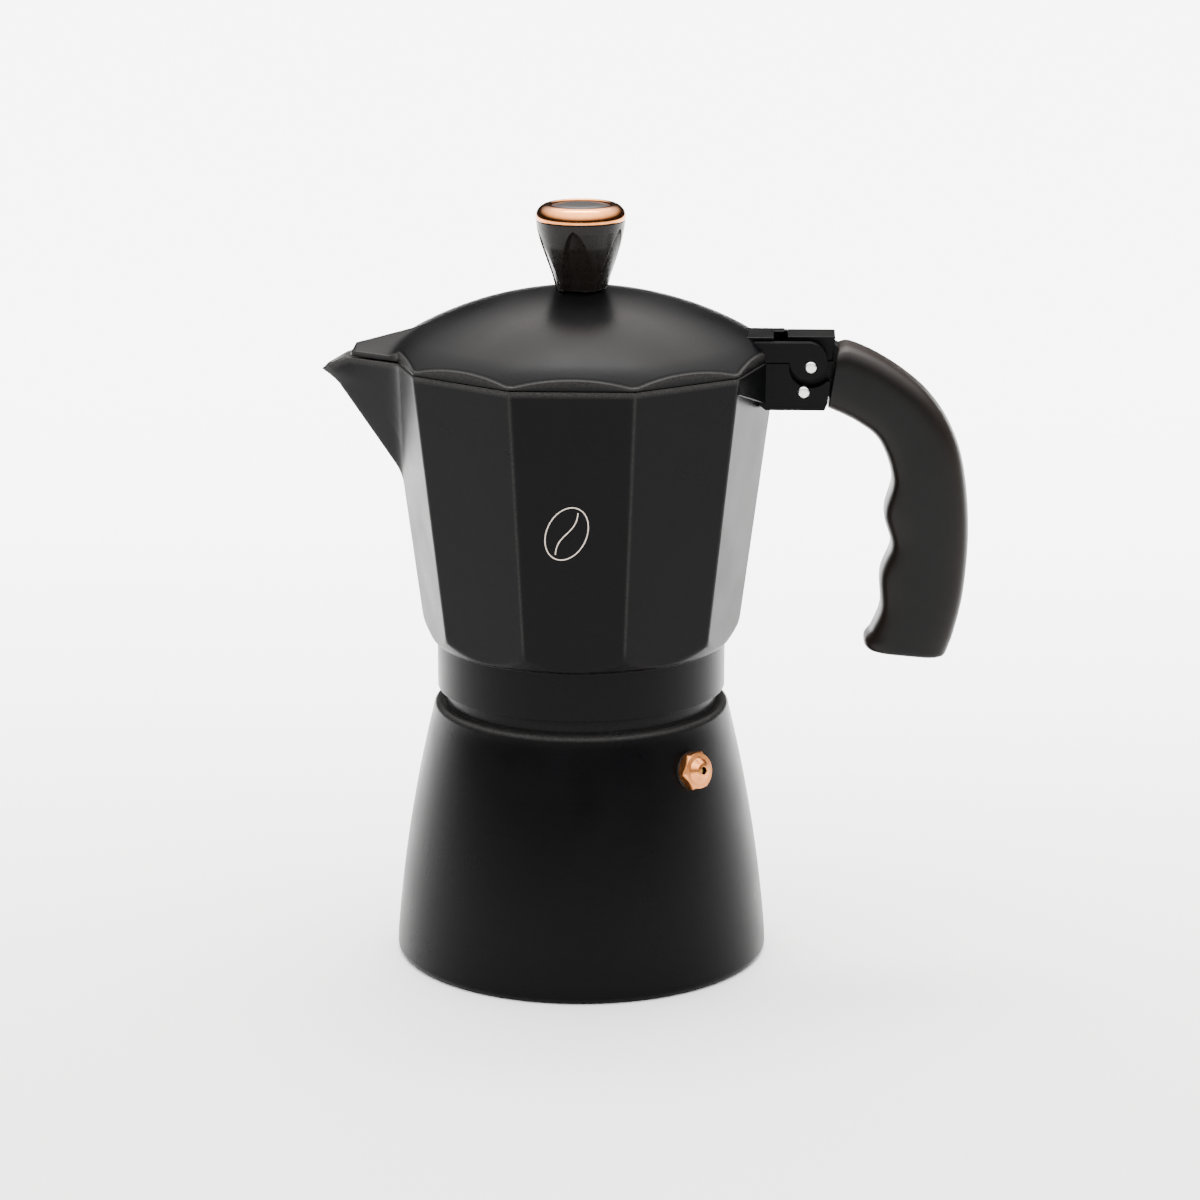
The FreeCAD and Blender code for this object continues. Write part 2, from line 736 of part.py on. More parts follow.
def make_collector():
    """Threaded skirt, ten-sided cup with a turned underside, spout and hinge bracket."""
    cup = ten_sided_taper("cup_outside", size("cup_bottom_corner"), size("cup_bottom"),
                          size("cup_rim_corner"), size("cup_rim"))
    underside = turned("cup_underside", [
        (0, size("cup_bottom")),
        (size("skirt_radius"), size("cup_bottom")),
        (size("skirt_radius"), size("skirt_top")),
        (size("skirt_radius") + 1.6, size("skirt_top") + 3.3, -5.0),
        (size("skirt_radius") + 4.9, size("skirt_top") + 9.0, 9.0),
        (60.0, size("cup_rim") + 5.0),
        (0, size("cup_rim") + 5.0),
    ])
    skirt = turned("skirt", [
        (size("underfloor_radius"), size("skirt_bottom")),
        (size("skirt_radius") - size("edge_break"), size("skirt_bottom")),
        (size("skirt_radius"), size("skirt_bottom") + size("edge_break")),
        (size("skirt_radius"), size("skirt_top") + 1.0),
        (size("underfloor_radius"), size("skirt_top") + 1.0),
    ])
    beak, channel = make_spout()
    castings, hollows = make_bracket()
    solid = fuse("collector_casting", common("cup_body", cup, underside), skirt, beak, *castings)
    inset = size("cup_wall") / math.cos(math.radians(18))
    cavity_sides = ten_sided_taper("cavity_sides", size("cup_bottom_corner") - inset, size("cup_bottom"),
                                   size("cup_rim_corner") - inset, size("cup_rim"))
    cavity_floor = turned("cavity_floor", [
        (0, size("boss_top")),
        (size("boss_radius"), size("boss_top")),
        (33.0, size("cup_floor")),
        (38.6, size("cup_floor") + 5.4, 6.0),
        (60.0, size("cup_rim") + 5.0),
        (0, size("cup_rim") + 5.0),
    ])
    cavity = common("cavity", cavity_sides, cavity_floor)
    bore = size("skirt_bore")
    female = thread_ridges(bore, bore + size("skirt_thread_depth"), size("thread_start"), 4)
    under = turned("skirt_hollow", [
        (0, size("skirt_bottom") - 1.0),
        (bore + 0.5, size("skirt_bottom") - 1.0),
        (bore + 0.5, size("skirt_bottom")),
        (bore, size("skirt_bottom") + 0.4),
    ] + female + [
        (bore, size("seat_step")),
        (size("seat_radius"), size("seat_step")),
        (size("seat_radius"), size("seat_ceiling")),
        (size("plate_recess_radius"), size("seat_ceiling")),
        (size("plate_recess_radius"), size("plate_recess_top")),
        (size("underfloor_radius"), size("plate_recess_top")),
        (size("underfloor_radius"), size("plate_recess_top") + 1.0),
        (size("boss_radius"), size("underfloor_top")),
        (size("riser_fit"), size("underfloor_top")),
        (size("riser_fit"), size("boss_top") + 1.0),
        (0, size("boss_top") + 1.0),
    ])
    keep("collector", cut("collector", solid, cavity, under, channel, *hollows))


def make_riser():
    """Column pressed into the floor boss; coffee leaves by two ports under its cap."""
    column = turned("riser_column_turned", [
        (size("riser_bore"), size("underfloor_top") + 0.1),
        (size("riser_fit"), size("underfloor_top") + 0.1),
        (size("riser_fit"), size("boss_top") + 0.05),
        (size("riser_flange"), size("boss_top") + 0.05),
        (size("riser_flange"), size("boss_top") + 1.5),
        (size("riser_foot"), size("boss_top") + 2.5),
        (size("riser_neck"), size("port_top") + 2.0),
        (size("riser_cap"), size("port_top") + 3.0),
        (size("riser_cap"), size("riser_top") - 2.0),
        (0, size("riser_top"), cap_radius(size("riser_cap"), as_size(2.0))),
        (0, size("port_top")),
        (size("riser_bore"), size("port_top")),
    ])
    ports = block("riser_ports", (-(size("port_width") / 2.0), -10.0, size("port_bottom")),
                  (size("port_width") / 2.0, 10.0, size("port_top")))
    keep("riser_column", cut("riser_column", column, ports))


# ---------------------------------------------------------------- lid


def make_spout_cover():
    """Hollow gable that runs from the dome out over the spout."""
    bottom = size("lid_bottom")
    cover = flat_faced("cover_outside", [
        (-46.0, 14.0, bottom), (-46.0, -14.0, bottom),
        (-60.2, 5.3, bottom), (-60.2, -5.3, bottom),
        (-46.0, 0, bottom + 6.75), (-58.9, 0, bottom + 3.0),
    ], [(0, 2, 3, 1), (2, 5, 3), (0, 4, 5), (0, 5, 2), (1, 5, 4), (1, 3, 5), (0, 1, 4)])
    hollow = flat_faced("cover_inside", [
        (-43.0, 14.2, bottom - 1.0), (-43.0, -14.2, bottom - 1.0),
        (-58.0, 4.9, bottom - 1.0), (-58.0, -4.9, bottom - 1.0),
        (-43.0, 0, bottom + 6.0), (-57.2, 0, bottom + 1.9),
    ], [(0, 2, 3, 1), (2, 5, 3), (0, 4, 5), (0, 5, 2), (1, 5, 4), (1, 3, 5), (0, 1, 4)])
    return cover, hollow


def make_lid():
    """Domed ten-sided shell with an inner lip, a spout cover and two hinge ears."""
    bottom = size("lid_bottom")
    wall = size("lid_wall")
    inner_radius = as_size(45.4)
    inner_height = size("dome_break_height") - 2.2
    shell = turned("lid_dome", [
        (0, size("dome_top")),
        (size("dome_pad"), size("dome_top")),
        (size("dome_pad") + 0.4, size("dome_top") - 0.28),
        (size("dome_break"), size("dome_break_height"), -size("dome_radius")),
        (52.8, bottom, -30.0),
        (47.6, bottom),
        (inner_radius, inner_height, 28.0),
        (0, size("dome_top") - wall, cap_radius(inner_radius, size("dome_top") - wall - inner_height)),
    ])
    sides = ten_sided_taper("lid_sides", size("lid_corner"), bottom, size("lid_corner"), bottom + 30.0)
    lip = turned("lid_lip", [
        (size("lip_inner"), size("lip_bottom")),
        (size("lip_outer"), size("lip_bottom")),
        (size("lip_outer"), bottom + 3.0),
        (size("lip_inner"), bottom + 3.6),
    ])
    cover, cover_hollow = make_spout_cover()
    notch = block("lid_back_notch", (50.4, -size("ear_inside"), bottom - 1.0),
                  (53.0, size("ear_inside"), bottom + 4.0))
    back = side_plate("lid_back", [
        (45.4, bottom),
        (50.5, bottom),
        (51.0, bottom + 2.0),
        (51.9, bottom + 4.0),
        (53.6, bottom + 6.05),
        (43.6, bottom + 6.05),
        (45.4, bottom + 4.0),
    ], size("ear_inside"))
    finger_notch = block("lid_finger_notch", (50.7, -size("ear_inside"), bottom + 1.6),
                         (54.5, 2.4, bottom + 7.0))
    arms = []
    thickness = size("ear_outside") - size("ear_inside")
    arm_top = size("ear_z") + size("ear_radius")
    for side, name in ((-1.0, "right"), (1.0, "left")):
        inner = size("ear_inside") * side
        outer = size("ear_outside") * side
        low, high = (outer, inner) if side < 0 else (inner, outer)
        arms.append(block("arm_%s" % name, (46.4, low, bottom), (size("ear_x"), high, arm_top)))
        arms.append(rod("ear_%s" % name, size("ear_radius"), thickness,
                        (size("ear_x"), inner, size("ear_z")), Vector(0, side, 0)))
    hinge_hole = cross_rod("ear_holes", size("ear_hole"), as_size(12.0), size("hinge_x"), size("hinge_z"))
    screw_hole = rod("lid_screw_hole", size("screw_hole"), 20.0, (0, 0, size("dome_top") - 10.0))
    dome = cut("lid_trimmed", common("lid_shell", shell, sides), notch)
    body = fuse("lid_casting", dome, lip, cover, back, *arms)
    keep("lid", cut("lid", body, cover_hollow, finger_notch, hinge_hole, screw_hole))


# ---------------------------------------------------------------- knob and its fastening


def make_knob():
    """Waisted moulded knob, plated ring, cap disc, threaded insert, screw and washer."""
    knob = turned("knob", [
        (size("insert_radius"), size("knob_bottom")),
        (size("knob_foot"), size("knob_bottom")),
        (size("knob_foot") + 1.2, size("knob_bottom") + 5.0, -20.0),
        (size("knob_shoulder"), size("knob_shoulder_height"), 90.0),
        (size("knob_shoulder"), size("knob_shoulder_height") + 1.7),
        (0, size("knob_shoulder_height") + 1.7),
        (0, size("knob_bottom") + 11.0),
        (size("insert_radius"), size("knob_bottom") + 11.0),
    ])
    keep("knob", knob)
    ring = turned("knob_ring", [
        (size("knob_shoulder") + 0.05, size("knob_shoulder_height") + 0.1),
        (size("ring_outer"), size("knob_shoulder_height") + 0.1),
        (size("ring_outer"), size("ring_top") - 2.2),
        (size("ring_outer") - 2.2, size("ring_top"), 2.4),
        (size("ring_inner") + 0.3, size("ring_top")),
        (size("ring_inner"), size("ring_top") - 0.3),
        (size("ring_inner"), size("knob_shoulder_height") + 1.75),
        (size("knob_shoulder") + 0.05, size("knob_shoulder_height") + 1.75),
    ])
    keep("knob_ring", ring)
    disc = turned("knob_disc", [
        (0, size("knob_shoulder_height") + 1.75),
        (size("ring_inner") - 0.05, size("knob_shoulder_height") + 1.75),
        (size("ring_inner") - 0.05, size("ring_top") - 0.5),
        (0, size("ring_top") + 0.2, cap_radius(size("ring_inner") - 0.05, as_size(0.7))),
    ])
    keep("knob_disc", disc)
    insert = turned("knob_insert", [
        (size("screw_radius"), size("knob_bottom") + 0.2),
        (size("insert_radius"), size("knob_bottom") + 0.2),
        (size("insert_radius"), size("knob_bottom") + 10.8),
        (0, size("knob_bottom") + 10.8),
        (0, size("knob_bottom") + 9.8),
        (size("screw_radius"), size("knob_bottom") + 9.8),
    ])
    keep("knob_insert", insert)
    under = size("dome_top") - size("lid_wall") - 0.2
    washer = turned("knob_washer", [
        (size("screw_hole"), under - 0.8),
        (5.0, under - 0.8),
        (5.0, under),
        (size("screw_hole"), under),
    ])
    keep("knob_washer", washer)
    screw = turned("knob_screw_turned", [
        (0, under - 3.0),
        (2.4, under - 3.0),
        (3.7, under - 2.0, 1.7),
        (3.7, under - 0.85),
        (size("screw_radius"), under - 0.85),
        (size("screw_radius"), size("knob_bottom") + 9.2),
        (0, size("knob_bottom") + 9.2),
    ])
    slots = [
        block("screw_slot_along", (-2.0, -0.45, under - 3.5), (2.0, 0.45, under - 1.7)),
        block("screw_slot_across", (-0.45, -2.0, under - 3.5), (0.45, 2.0, under - 1.7)),
    ]
    keep("knob_screw", cut("knob_screw", screw, *slots))


# ---------------------------------------------------------------- handle and pins


def spline_edge(points):
    """A smooth curve through (x, z) points."""
    curve = Part.BSplineCurve()
    curve.interpolate([Vector(across, up, 0) for across, up in points])
    return curve


def make_handle():
    """Moulded grip with finger grooves, rounded edges and a tongue for the bracket slot."""
    shoulder_low = (65.1, 150.6)
    shoulder_high = (67.4, 166.6)
    outer = [shoulder_high, (70.5, 167.0), (77.3, 164.1), (84.7, 159.5), (91.5, 153.6), (97.2, 145.3),
             (100.9, 134.6), (102.5, 118.3), (101.6, 101.9), (99.3, 90.5), (96.7, 83.2)]
    inner = [(76.4, 84.9), (75.2, 87.2), (79.5, 96.0), (79.3, 105.3), (82.0, 113.5), (80.1, 122.0),
             (82.0, 131.4), (78.6, 141.6), (72.6, 146.8), shoulder_low]
    body = new_body("handle_grip")
    sketch = new_sketch(body, "handle_side")
    sketch.addGeometry(spline_edge(outer))
    sketch.addGeometry(Part.LineSegment(Vector(*outer[-1], 0), Vector(*inner[0], 0)))
    sketch.addGeometry(spline_edge(inner))
    sketch.addGeometry(Part.LineSegment(Vector(*inner[-1], 0), Vector(*outer[0], 0)))
    pad = body.newObject("PartDesign::Pad", "handle_pad")
    pad.Profile = (sketch, [""])
    pad.Midplane = True
    bind(pad, "Length", size("handle_half_width") * 2.0)
    doc.recompute()
    half_width = size("handle_half_width").value
    long_edges = []
    for number, edge in enumerate(pad.Shape.Edges, start=1):
        box = edge.BoundBox
        on_side = abs(abs(box.YMin) - half_width) < 0.01 and abs(box.YMax - box.YMin) < 0.01
        if on_side and edge.Length > 40.0:
            long_edges.append("Edge%d" % number)
    fillet = body.newObject("PartDesign::Fillet", "handle_rounding")
    fillet.Base = (pad, long_edges)
    bind(fillet, "Radius", size("handle_round"))
    tongue = side_plate("handle_tongue", [
        (53.9, size("bracket_bottom") + 2.4),
        (72.0, size("bracket_bottom") + 2.4),
        (72.0, size("tower_top") - 6.0),
        (67.4, size("tower_top") - 6.0),
        (67.4, size("tower_top") - 4.4),
        (66.0, size("tower_top") - 2.2),
        (57.5, size("tower_top") - 2.2),
        (57.5, 160.2),
        (53.9, 160.2),
    ], size("tongue_half_width"))
    bores = [
        cross_rod("tongue_hinge_bore", size("pin_radius"), as_size(12.0), size("hinge_x"), size("hinge_z")),
        cross_rod("tongue_pin_bore", size("pin_radius"), as_size(12.0),
                  size("handle_pin_x"), size("handle_pin_z")),
    ]
    keep("handle", cut("handle", fuse("handle_moulding", body, tongue), *bores))


def make_pins():
    """Two plain steel pins: one carries the lid, the other locks the handle's tongue."""
    ends = size("ear_outside") + 0.4
    keep("hinge_pin", cross_rod("hinge_pin", size("pin_radius"), ends, size("hinge_x"), size("hinge_z")))
    keep("handle_pin", cross_rod("handle_pin", size("pin_radius"), ends,
                                 size("handle_pin_x"), size("handle_pin_z")))


def write_parts():
    """Check every object and every sub-part, then write one STEP file for each node."""
    doc.recompute()
    for thing in doc.Objects:
        if "Invalid" in thing.State or "Error" in thing.State:
            raise RuntimeError("%s did not recompute: %s" % (thing.Label, thing.State))
    for node, thing in nodes.items():
        if thing.Shape.isNull() or not thing.Shape.isValid():
            raise RuntimeError(node + " has no valid shape")
    os.makedirs("parts", exist_ok=True)
    for node, thing in nodes.items():
        thing.Shape.exportStep("parts/%s.step" % node)
        print("%-16s %2d solid %10.1f mm3" % (node, len(thing.Shape.Solids), thing.Shape.Volume))


make_boiler()
make_safety_valve()
make_funnel()
make_seals()
make_collector()
make_riser()
make_lid()
make_knob()
make_handle()
make_pins()
write_parts()
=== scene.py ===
import math
import bmesh
import bpy
import numpy as np
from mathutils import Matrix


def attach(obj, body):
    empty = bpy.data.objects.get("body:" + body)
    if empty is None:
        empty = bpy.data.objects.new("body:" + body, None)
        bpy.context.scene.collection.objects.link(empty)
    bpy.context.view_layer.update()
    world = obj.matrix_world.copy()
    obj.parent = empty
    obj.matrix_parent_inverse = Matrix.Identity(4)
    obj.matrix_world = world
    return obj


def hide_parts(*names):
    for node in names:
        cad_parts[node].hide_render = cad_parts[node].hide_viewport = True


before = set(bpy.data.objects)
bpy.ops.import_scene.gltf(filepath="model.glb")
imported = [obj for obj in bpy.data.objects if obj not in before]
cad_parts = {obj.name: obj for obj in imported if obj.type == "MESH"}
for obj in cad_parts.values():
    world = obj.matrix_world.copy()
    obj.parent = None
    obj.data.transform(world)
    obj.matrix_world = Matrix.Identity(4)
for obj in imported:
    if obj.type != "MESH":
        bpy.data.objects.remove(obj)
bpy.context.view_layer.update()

# ---------------------------------------------------------------- studio
# The pot stands on a wide sheet of matt white board. One broad soft light shines down from behind,
# a wash lights the board behind the pot, so that its sides catch the light, and the room glows
# overhead and is dim all round, so that its front stays dark.

MM = 0.001
SENSOR_MM, LENS_MM = 36.0, 122.7
EYE = np.array([49.3, -1055.3, 372.9]) * MM
LOOKED_AT = np.array([5.03, 0.2, 96.5]) * MM


def srgb(code):
    """An sRGB hex colour as linear red, green, blue and an alpha of one."""
    channels = [int(code[i:i + 2], 16) / 255 for i in (1, 3, 5)]
    return [c / 12.92 if c <= 0.04045 else ((c + 0.055) / 1.055) ** 2.4 for c in channels] + [1.0]


def aimed(thing, place, target):
    """Put an object at a place with its -Z towards a target and its +Y up."""
    from mathutils import Vector
    thing.location = place
    thing.rotation_euler = (Vector(target) - Vector(place)).to_track_quat("-Z", "Y").to_euler()
    bpy.context.scene.collection.objects.link(thing)
    return thing


camera = aimed(bpy.data.objects.new("camera", bpy.data.cameras.new("camera")), EYE, LOOKED_AT)
camera.data.sensor_width = SENSOR_MM
camera.data.lens = LENS_MM
camera.data.clip_end = 50.0
bpy.context.scene.camera = camera


def broad_light(elevation_deg, spread_deg, strength, colour):
    """A very wide, distant soft light behind the pot at an elevation."""
    light = bpy.data.lights.new("broad_light", "SUN")
    light.angle = math.radians(spread_deg)
    light.energy = strength
    light.color = srgb(colour)[:3]
    rise = math.radians(elevation_deg)
    return aimed(bpy.data.objects.new("broad_light", light),
                 (0, 3 * math.cos(rise), 3 * math.sin(rise)), (0, 0, 0))


def floor_wash(width, depth, height, start, watts, spread_deg):
    """A large panel that looks straight down on the board behind the pot."""
    light = bpy.data.lights.new("floor_wash", "AREA")
    light.shape = "RECTANGLE"
    light.size = width
    light.size_y = depth
    light.energy = watts
    light.spread = math.radians(spread_deg)
    panel = bpy.data.objects.new("floor_wash", light)
    panel.location = (0, start + depth / 2, height)
    panel.visible_camera = False
    bpy.context.scene.collection.objects.link(panel)


broad_light(elevation_deg=56, spread_deg=50, strength=1.3, colour="#ffeee0")
floor_wash(width=4.4, depth=2.6, height=1.1, start=0.2, watts=170, spread_deg=60)

GLOW_STARTS, GLOW_DIM, GLOW_BRIGHT = 0.24, 0.04, 6.4
BACKDROP = 2.4


def add_node(tree, kind, settings=None, **inputs):
    """Add a node, set its settings, then set or link its named inputs."""
    node = tree.nodes.new(kind)
    for key, value in (settings or {}).items():
        setattr(node, key, value)
    for key, value in inputs.items():
        socket = node.inputs[int(key[1:])] if key[1:].isdigit() else node.inputs[key.replace("_", " ")]
        if isinstance(value, bpy.types.NodeSocket):
            tree.links.new(value, socket)
        else:
            socket.default_value = value
    return node


def make_surroundings():
    """White to the eye; to the pot, bright overhead and dim towards the horizon."""
    world = bpy.data.worlds.new("studio")
    world.use_nodes = True
    bpy.context.scene.world = world
    tree = world.node_tree
    tree.nodes.clear()
    direction = add_node(tree, "ShaderNodeTexCoord").outputs["Generated"]
    split = add_node(tree, "ShaderNodeSeparateXYZ", i0=direction)
    glow = add_node(tree, "ShaderNodeMapRange", {"interpolation_type": "SMOOTHSTEP"},
                    i0=split.outputs["Z"], i1=GLOW_STARTS, i2=1.0, i3=GLOW_DIM, i4=GLOW_BRIGHT)
    eye_ray = add_node(tree, "ShaderNodeLightPath").outputs["Is Camera Ray"]
    room = add_node(tree, "ShaderNodeBackground", Color=srgb("#ffffff"), Strength=glow.outputs[0])
    white = add_node(tree, "ShaderNodeBackground", Color=srgb("#ffffff"), Strength=BACKDROP)
    mixed = add_node(tree, "ShaderNodeMixShader", i0=eye_ray, i1=room.outputs[0], i2=white.outputs[0])
    add_node(tree, "ShaderNodeOutputWorld", Surface=mixed.outputs[0])


make_surroundings()


def new_material(name):
    """An empty node material and its tree."""
    material = bpy.data.materials.new(name)
    material.use_nodes = True
    material.node_tree.nodes.clear()
    return material, material.node_tree


def finish_material(tree, shader):
    """Send a shader to the material output."""
    add_node(tree, "ShaderNodeOutputMaterial", Surface=shader.outputs[0])


def white_board():
    """Matt laminated board: near white, with a faint grain in its roughness."""
    material, tree = new_material("white_laminate_board")
    place = add_node(tree, "ShaderNodeTexCoord").outputs["Object"]
    grain = add_node(tree, "ShaderNodeTexNoise", Vector=place, Scale=120.0, Detail=3.0)
    rough = add_node(tree, "ShaderNodeMapRange", i0=grain.outputs[0], i3=0.75, i4=0.85)
    shader = add_node(tree, "ShaderNodeBsdfPrincipled", Base_Color=srgb("#f4f4f4"),
                      Roughness=rough.outputs[0], IOR=1.45)
    finish_material(tree, shader)
    return material


FLOOR_HALF = 6.0
floor_mesh = bpy.data.meshes.new("floor")
floor_mesh.from_pydata([(-FLOOR_HALF, -FLOOR_HALF, 0), (FLOOR_HALF, -FLOOR_HALF, 0),
                        (FLOOR_HALF, FLOOR_HALF, 0), (-FLOOR_HALF, FLOOR_HALF, 0)], [], [(0, 1, 2, 3)])
floor_mesh.materials.append(white_board())
floor = bpy.data.objects.new("floor", floor_mesh)
bpy.context.scene.collection.objects.link(floor)

# ---------------------------------------------------------------- boiler
# The water chamber: one aluminium casting with a bowed wall, turned on a lathe at its shoulder
# and neck, threaded, then sprayed outside with a black high-temperature coating and baked.
# Inside it is left bare.


def pattern(tree, size_mm, detail=2.0):
    """Noise on the piece's own coordinates whose features are size_mm across."""
    place = add_node(tree, "ShaderNodeTexCoord").outputs["Object"]
    noise = add_node(tree, "ShaderNodeTexNoise", Vector=place, Scale=1000.0 / size_mm, Detail=detail)
    return noise.outputs[0]


def black_coating():
    """Sprayed and baked silicone coating on cast aluminium: the eye sees a satin black whose sheen is broken
    by a fine orange peel, cloudy patches of gloss and paler, rubbed edges; on the boiler's shoulder that
    paler edge is also a painted highlight."""
    material, tree = new_material("satin_black_silicone_coating")
    clouds = pattern(tree, 14.0)
    specks = pattern(tree, 0.5)
    peel = pattern(tree, 1.1, 3.0)
    wear_and_sheen = add_node(tree, "ShaderNodeAttribute", {"attribute_name": "wear_and_sheen"}).outputs["Fac"]
    # Paler speckled colour where the attribute is high: rubbed coating on the collector's corners and rim
    # and on the lid's edge, and on the boiler's shoulder also a painted highlight.
    rub_and_highlight = add_node(tree, "ShaderNodeMath", {"operation": "MULTIPLY", "use_clamp": True}, i0=wear_and_sheen, i1=specks)
    base = add_node(tree, "ShaderNodeMix", {"data_type": "RGBA"}, Factor=clouds,
                    i6=srgb("#050506"), i7=srgb("#080809"))
    colour = add_node(tree, "ShaderNodeMix", {"data_type": "RGBA"}, Factor=rub_and_highlight.outputs[0],
                      i6=base.outputs[2], i7=srgb("#4a4947"))
    rough = add_node(tree, "ShaderNodeMapRange", i0=clouds, i1=0.3, i2=0.7, i3=0.27, i4=0.34)
    bump = add_node(tree, "ShaderNodeBump", Strength=0.12, Distance=0.00012, Height=peel)
    shader = add_node(tree, "ShaderNodeBsdfPrincipled", Base_Color=colour.outputs[2],
                      Roughness=rough.outputs[0], IOR=1.14, Normal=bump.outputs[0])
    finish_material(tree, shader)
    return material


def bare_aluminium(name, grain_mm, roughness):
    """Uncoated aluminium: pale grey metal, softly mottled where it was cast, pressed or washed."""
    material, tree = new_material(name)
    mottle = pattern(tree, 9.0, 4.0)
    grain = pattern(tree, grain_mm, 2.0)
    colour = add_node(tree, "ShaderNodeMix", {"data_type": "RGBA"}, Factor=mottle,
                      i6=srgb("#b9b9b7"), i7=srgb("#d6d6d4"))
    rough = add_node(tree, "ShaderNodeMapRange", i0=mottle, i1=0.3, i2=0.7,
                     i3=roughness - 0.05, i4=roughness + 0.08)
    bump = add_node(tree, "ShaderNodeBump", Strength=0.25, Distance=0.00006, Height=grain)
    shader = add_node(tree, "ShaderNodeBsdfPrincipled", Base_Color=colour.outputs[2], Metallic=1.0,
                      Roughness=rough.outputs[0], Normal=bump.outputs[0])
    finish_material(tree, shader)
    return material


coated = black_coating()
cast_metal = bare_aluminium("bare_cast_aluminium", 0.8, 0.42)
pressed_metal = bare_aluminium("pressed_aluminium_sheet", 0.4, 0.30)


def surface(name, points, materials, rows=None, around=True, along=False, wear_and_sheen=None):
    """A piece from a grid of points (step around, step along, xyz). around and along say which
    way the grid closes on itself; rows gives the material of each step along the profile."""
    steps_u, steps_v = points.shape[:2]
    faces_u = steps_u if around else steps_u - 1
    faces_v = steps_v if along else steps_v - 1
    u, v = np.meshgrid(np.arange(faces_u), np.arange(faces_v), indexing="ij")
    u, v = u.ravel(), v.ravel()
    u_next, v_next = (u + 1) % steps_u, (v + 1) % steps_v
    quads = np.stack([u * steps_v + v, u_next * steps_v + v,
                      u_next * steps_v + v_next, u * steps_v + v_next], 1)
    mesh = bpy.data.meshes.new(name)
    mesh.vertices.add(steps_u * steps_v)
    mesh.vertices.foreach_set("co", (points * MM).astype(np.float32).ravel())
    mesh.loops.add(quads.size)
    mesh.loops.foreach_set("vertex_index", quads.astype(np.int32).ravel())
    mesh.polygons.add(len(quads))
    mesh.polygons.foreach_set("loop_start", np.arange(0, quads.size, 4, dtype=np.int32))
    for material in materials:
        mesh.materials.append(material)
    if rows is not None:
        mesh.polygons.foreach_set("material_index", np.asarray(rows, np.int32)[v])
    if wear_and_sheen is not None:
        mesh.attributes.new("wear_and_sheen", "FLOAT", "POINT").data.foreach_set(
            "value", np.broadcast_to(wear_and_sheen, (steps_u, steps_v)).astype(np.float32).ravel())
    mesh.update(calc_edges=True)
    mesh.validate()
    close_poles(mesh)
    mesh.polygons.foreach_set("use_smooth", np.ones(len(mesh.polygons), bool))
    thing = bpy.data.objects.new(name, mesh)
    bpy.context.scene.collection.objects.link(thing)
    return thing


def close_poles(mesh):
    """Merge the points that lie on top of each other where a grid meets its own axis."""
    shape = bmesh.new()
    shape.from_mesh(mesh)
    bmesh.ops.remove_doubles(shape, verts=shape.verts, dist=1e-7)
    shape.to_mesh(mesh)
    shape.free()


def filleted(corners, turns=6, lead=0.12):
    """An outline from corners (radius, height, fillet): each corner becomes an arc of that
    fillet, tangent to both sides, with a short lead-in so that flat sides stay flat."""
    points = []
    for i, (r, z, fillet) in enumerate(corners):
        corner = np.array([r, z])
        if fillet == 0 or i in (0, len(corners) - 1):
            points.append(corner)
            continue
        before = np.array(corners[i - 1][:2]) - corner
        after = np.array(corners[i + 1][:2]) - corner
        reach_before, reach_after = np.linalg.norm(before), np.linalg.norm(after)
        before, after = before / reach_before, after / reach_after
        half = math.acos(np.clip(before @ after, -1, 1)) / 2
        cut = min(fillet / math.tan(half), 0.45 * reach_before, 0.45 * reach_after)
        radius = cut * math.tan(half)
        middle = (before + after) / np.linalg.norm(before + after)
        centre = corner + middle * radius / math.sin(half)
        start, end = corner + before * cut, corner + after * cut
        turn = math.pi - 2 * half
        share = np.linspace(0, 1, turns + 1)
        arms = [(np.sin((1 - s) * turn) * (start - centre) + np.sin(s * turn) * (end - centre))
                / math.sin(turn) for s in share]
        points.append(start + before * min(lead, 0.2 * cut))
        points.extend(centre + arm for arm in arms)
        points.append(end + after * min(lead, 0.2 * cut))
    return np.array(points)


def bowed(start, end, bow_radius, steps):
    """Points of the arc from start to end that bulges away from the axis, ends left out."""
    start, end = np.array(start), np.array(end)
    share = np.linspace(0, 1, steps + 2)[1:-1, None]
    chord = end - start
    rise = np.linalg.norm(chord) ** 2 / (8 * bow_radius)
    outwards = np.array([chord[1], -chord[0]]) / np.linalg.norm(chord)
    return start + chord * share + outwards * rise * 4 * share * (1 - share)


def sharp_corners(points):
    """Turn plain points into corners (radius, height, fillet) that have no fillet."""
    return [(r, z, 0.0) for r, z in np.asarray(points)]


def spun(outline, steps=192):
    """The outline turned about Z: x is radius times cosine, y is radius times sine."""
    angle = np.linspace(0, 2 * math.pi, steps, endpoint=False)[:, None]
    r, z = outline[:, 0], outline[:, 1]
    return np.stack([r * np.cos(angle), r * np.sin(angle), z + 0 * angle], -1)


def helical_thread(points, low, high, pitch, depth):
    """Push the rows of a spun surface that lie between two heights out and back by a thread:
    depth times a rounded triangle wave of height minus pitch times turn, faded at both ends."""
    height = points[..., 2]
    turn = np.arctan2(points[..., 1], points[..., 0]) / (2 * math.pi)
    wave = 0.5 + 0.5 * np.cos(2 * math.pi * (height / pitch - turn))
    fade = np.clip((height - low) / 1.0, 0, 1) * np.clip((high - height) / 1.0, 0, 1)
    radius = np.hypot(points[..., 0], points[..., 1])
    factor = 1 + depth * fade * wave ** 1.5 / np.maximum(radius, 1)
    points[..., 0] *= factor
    points[..., 1] *= factor
    return points


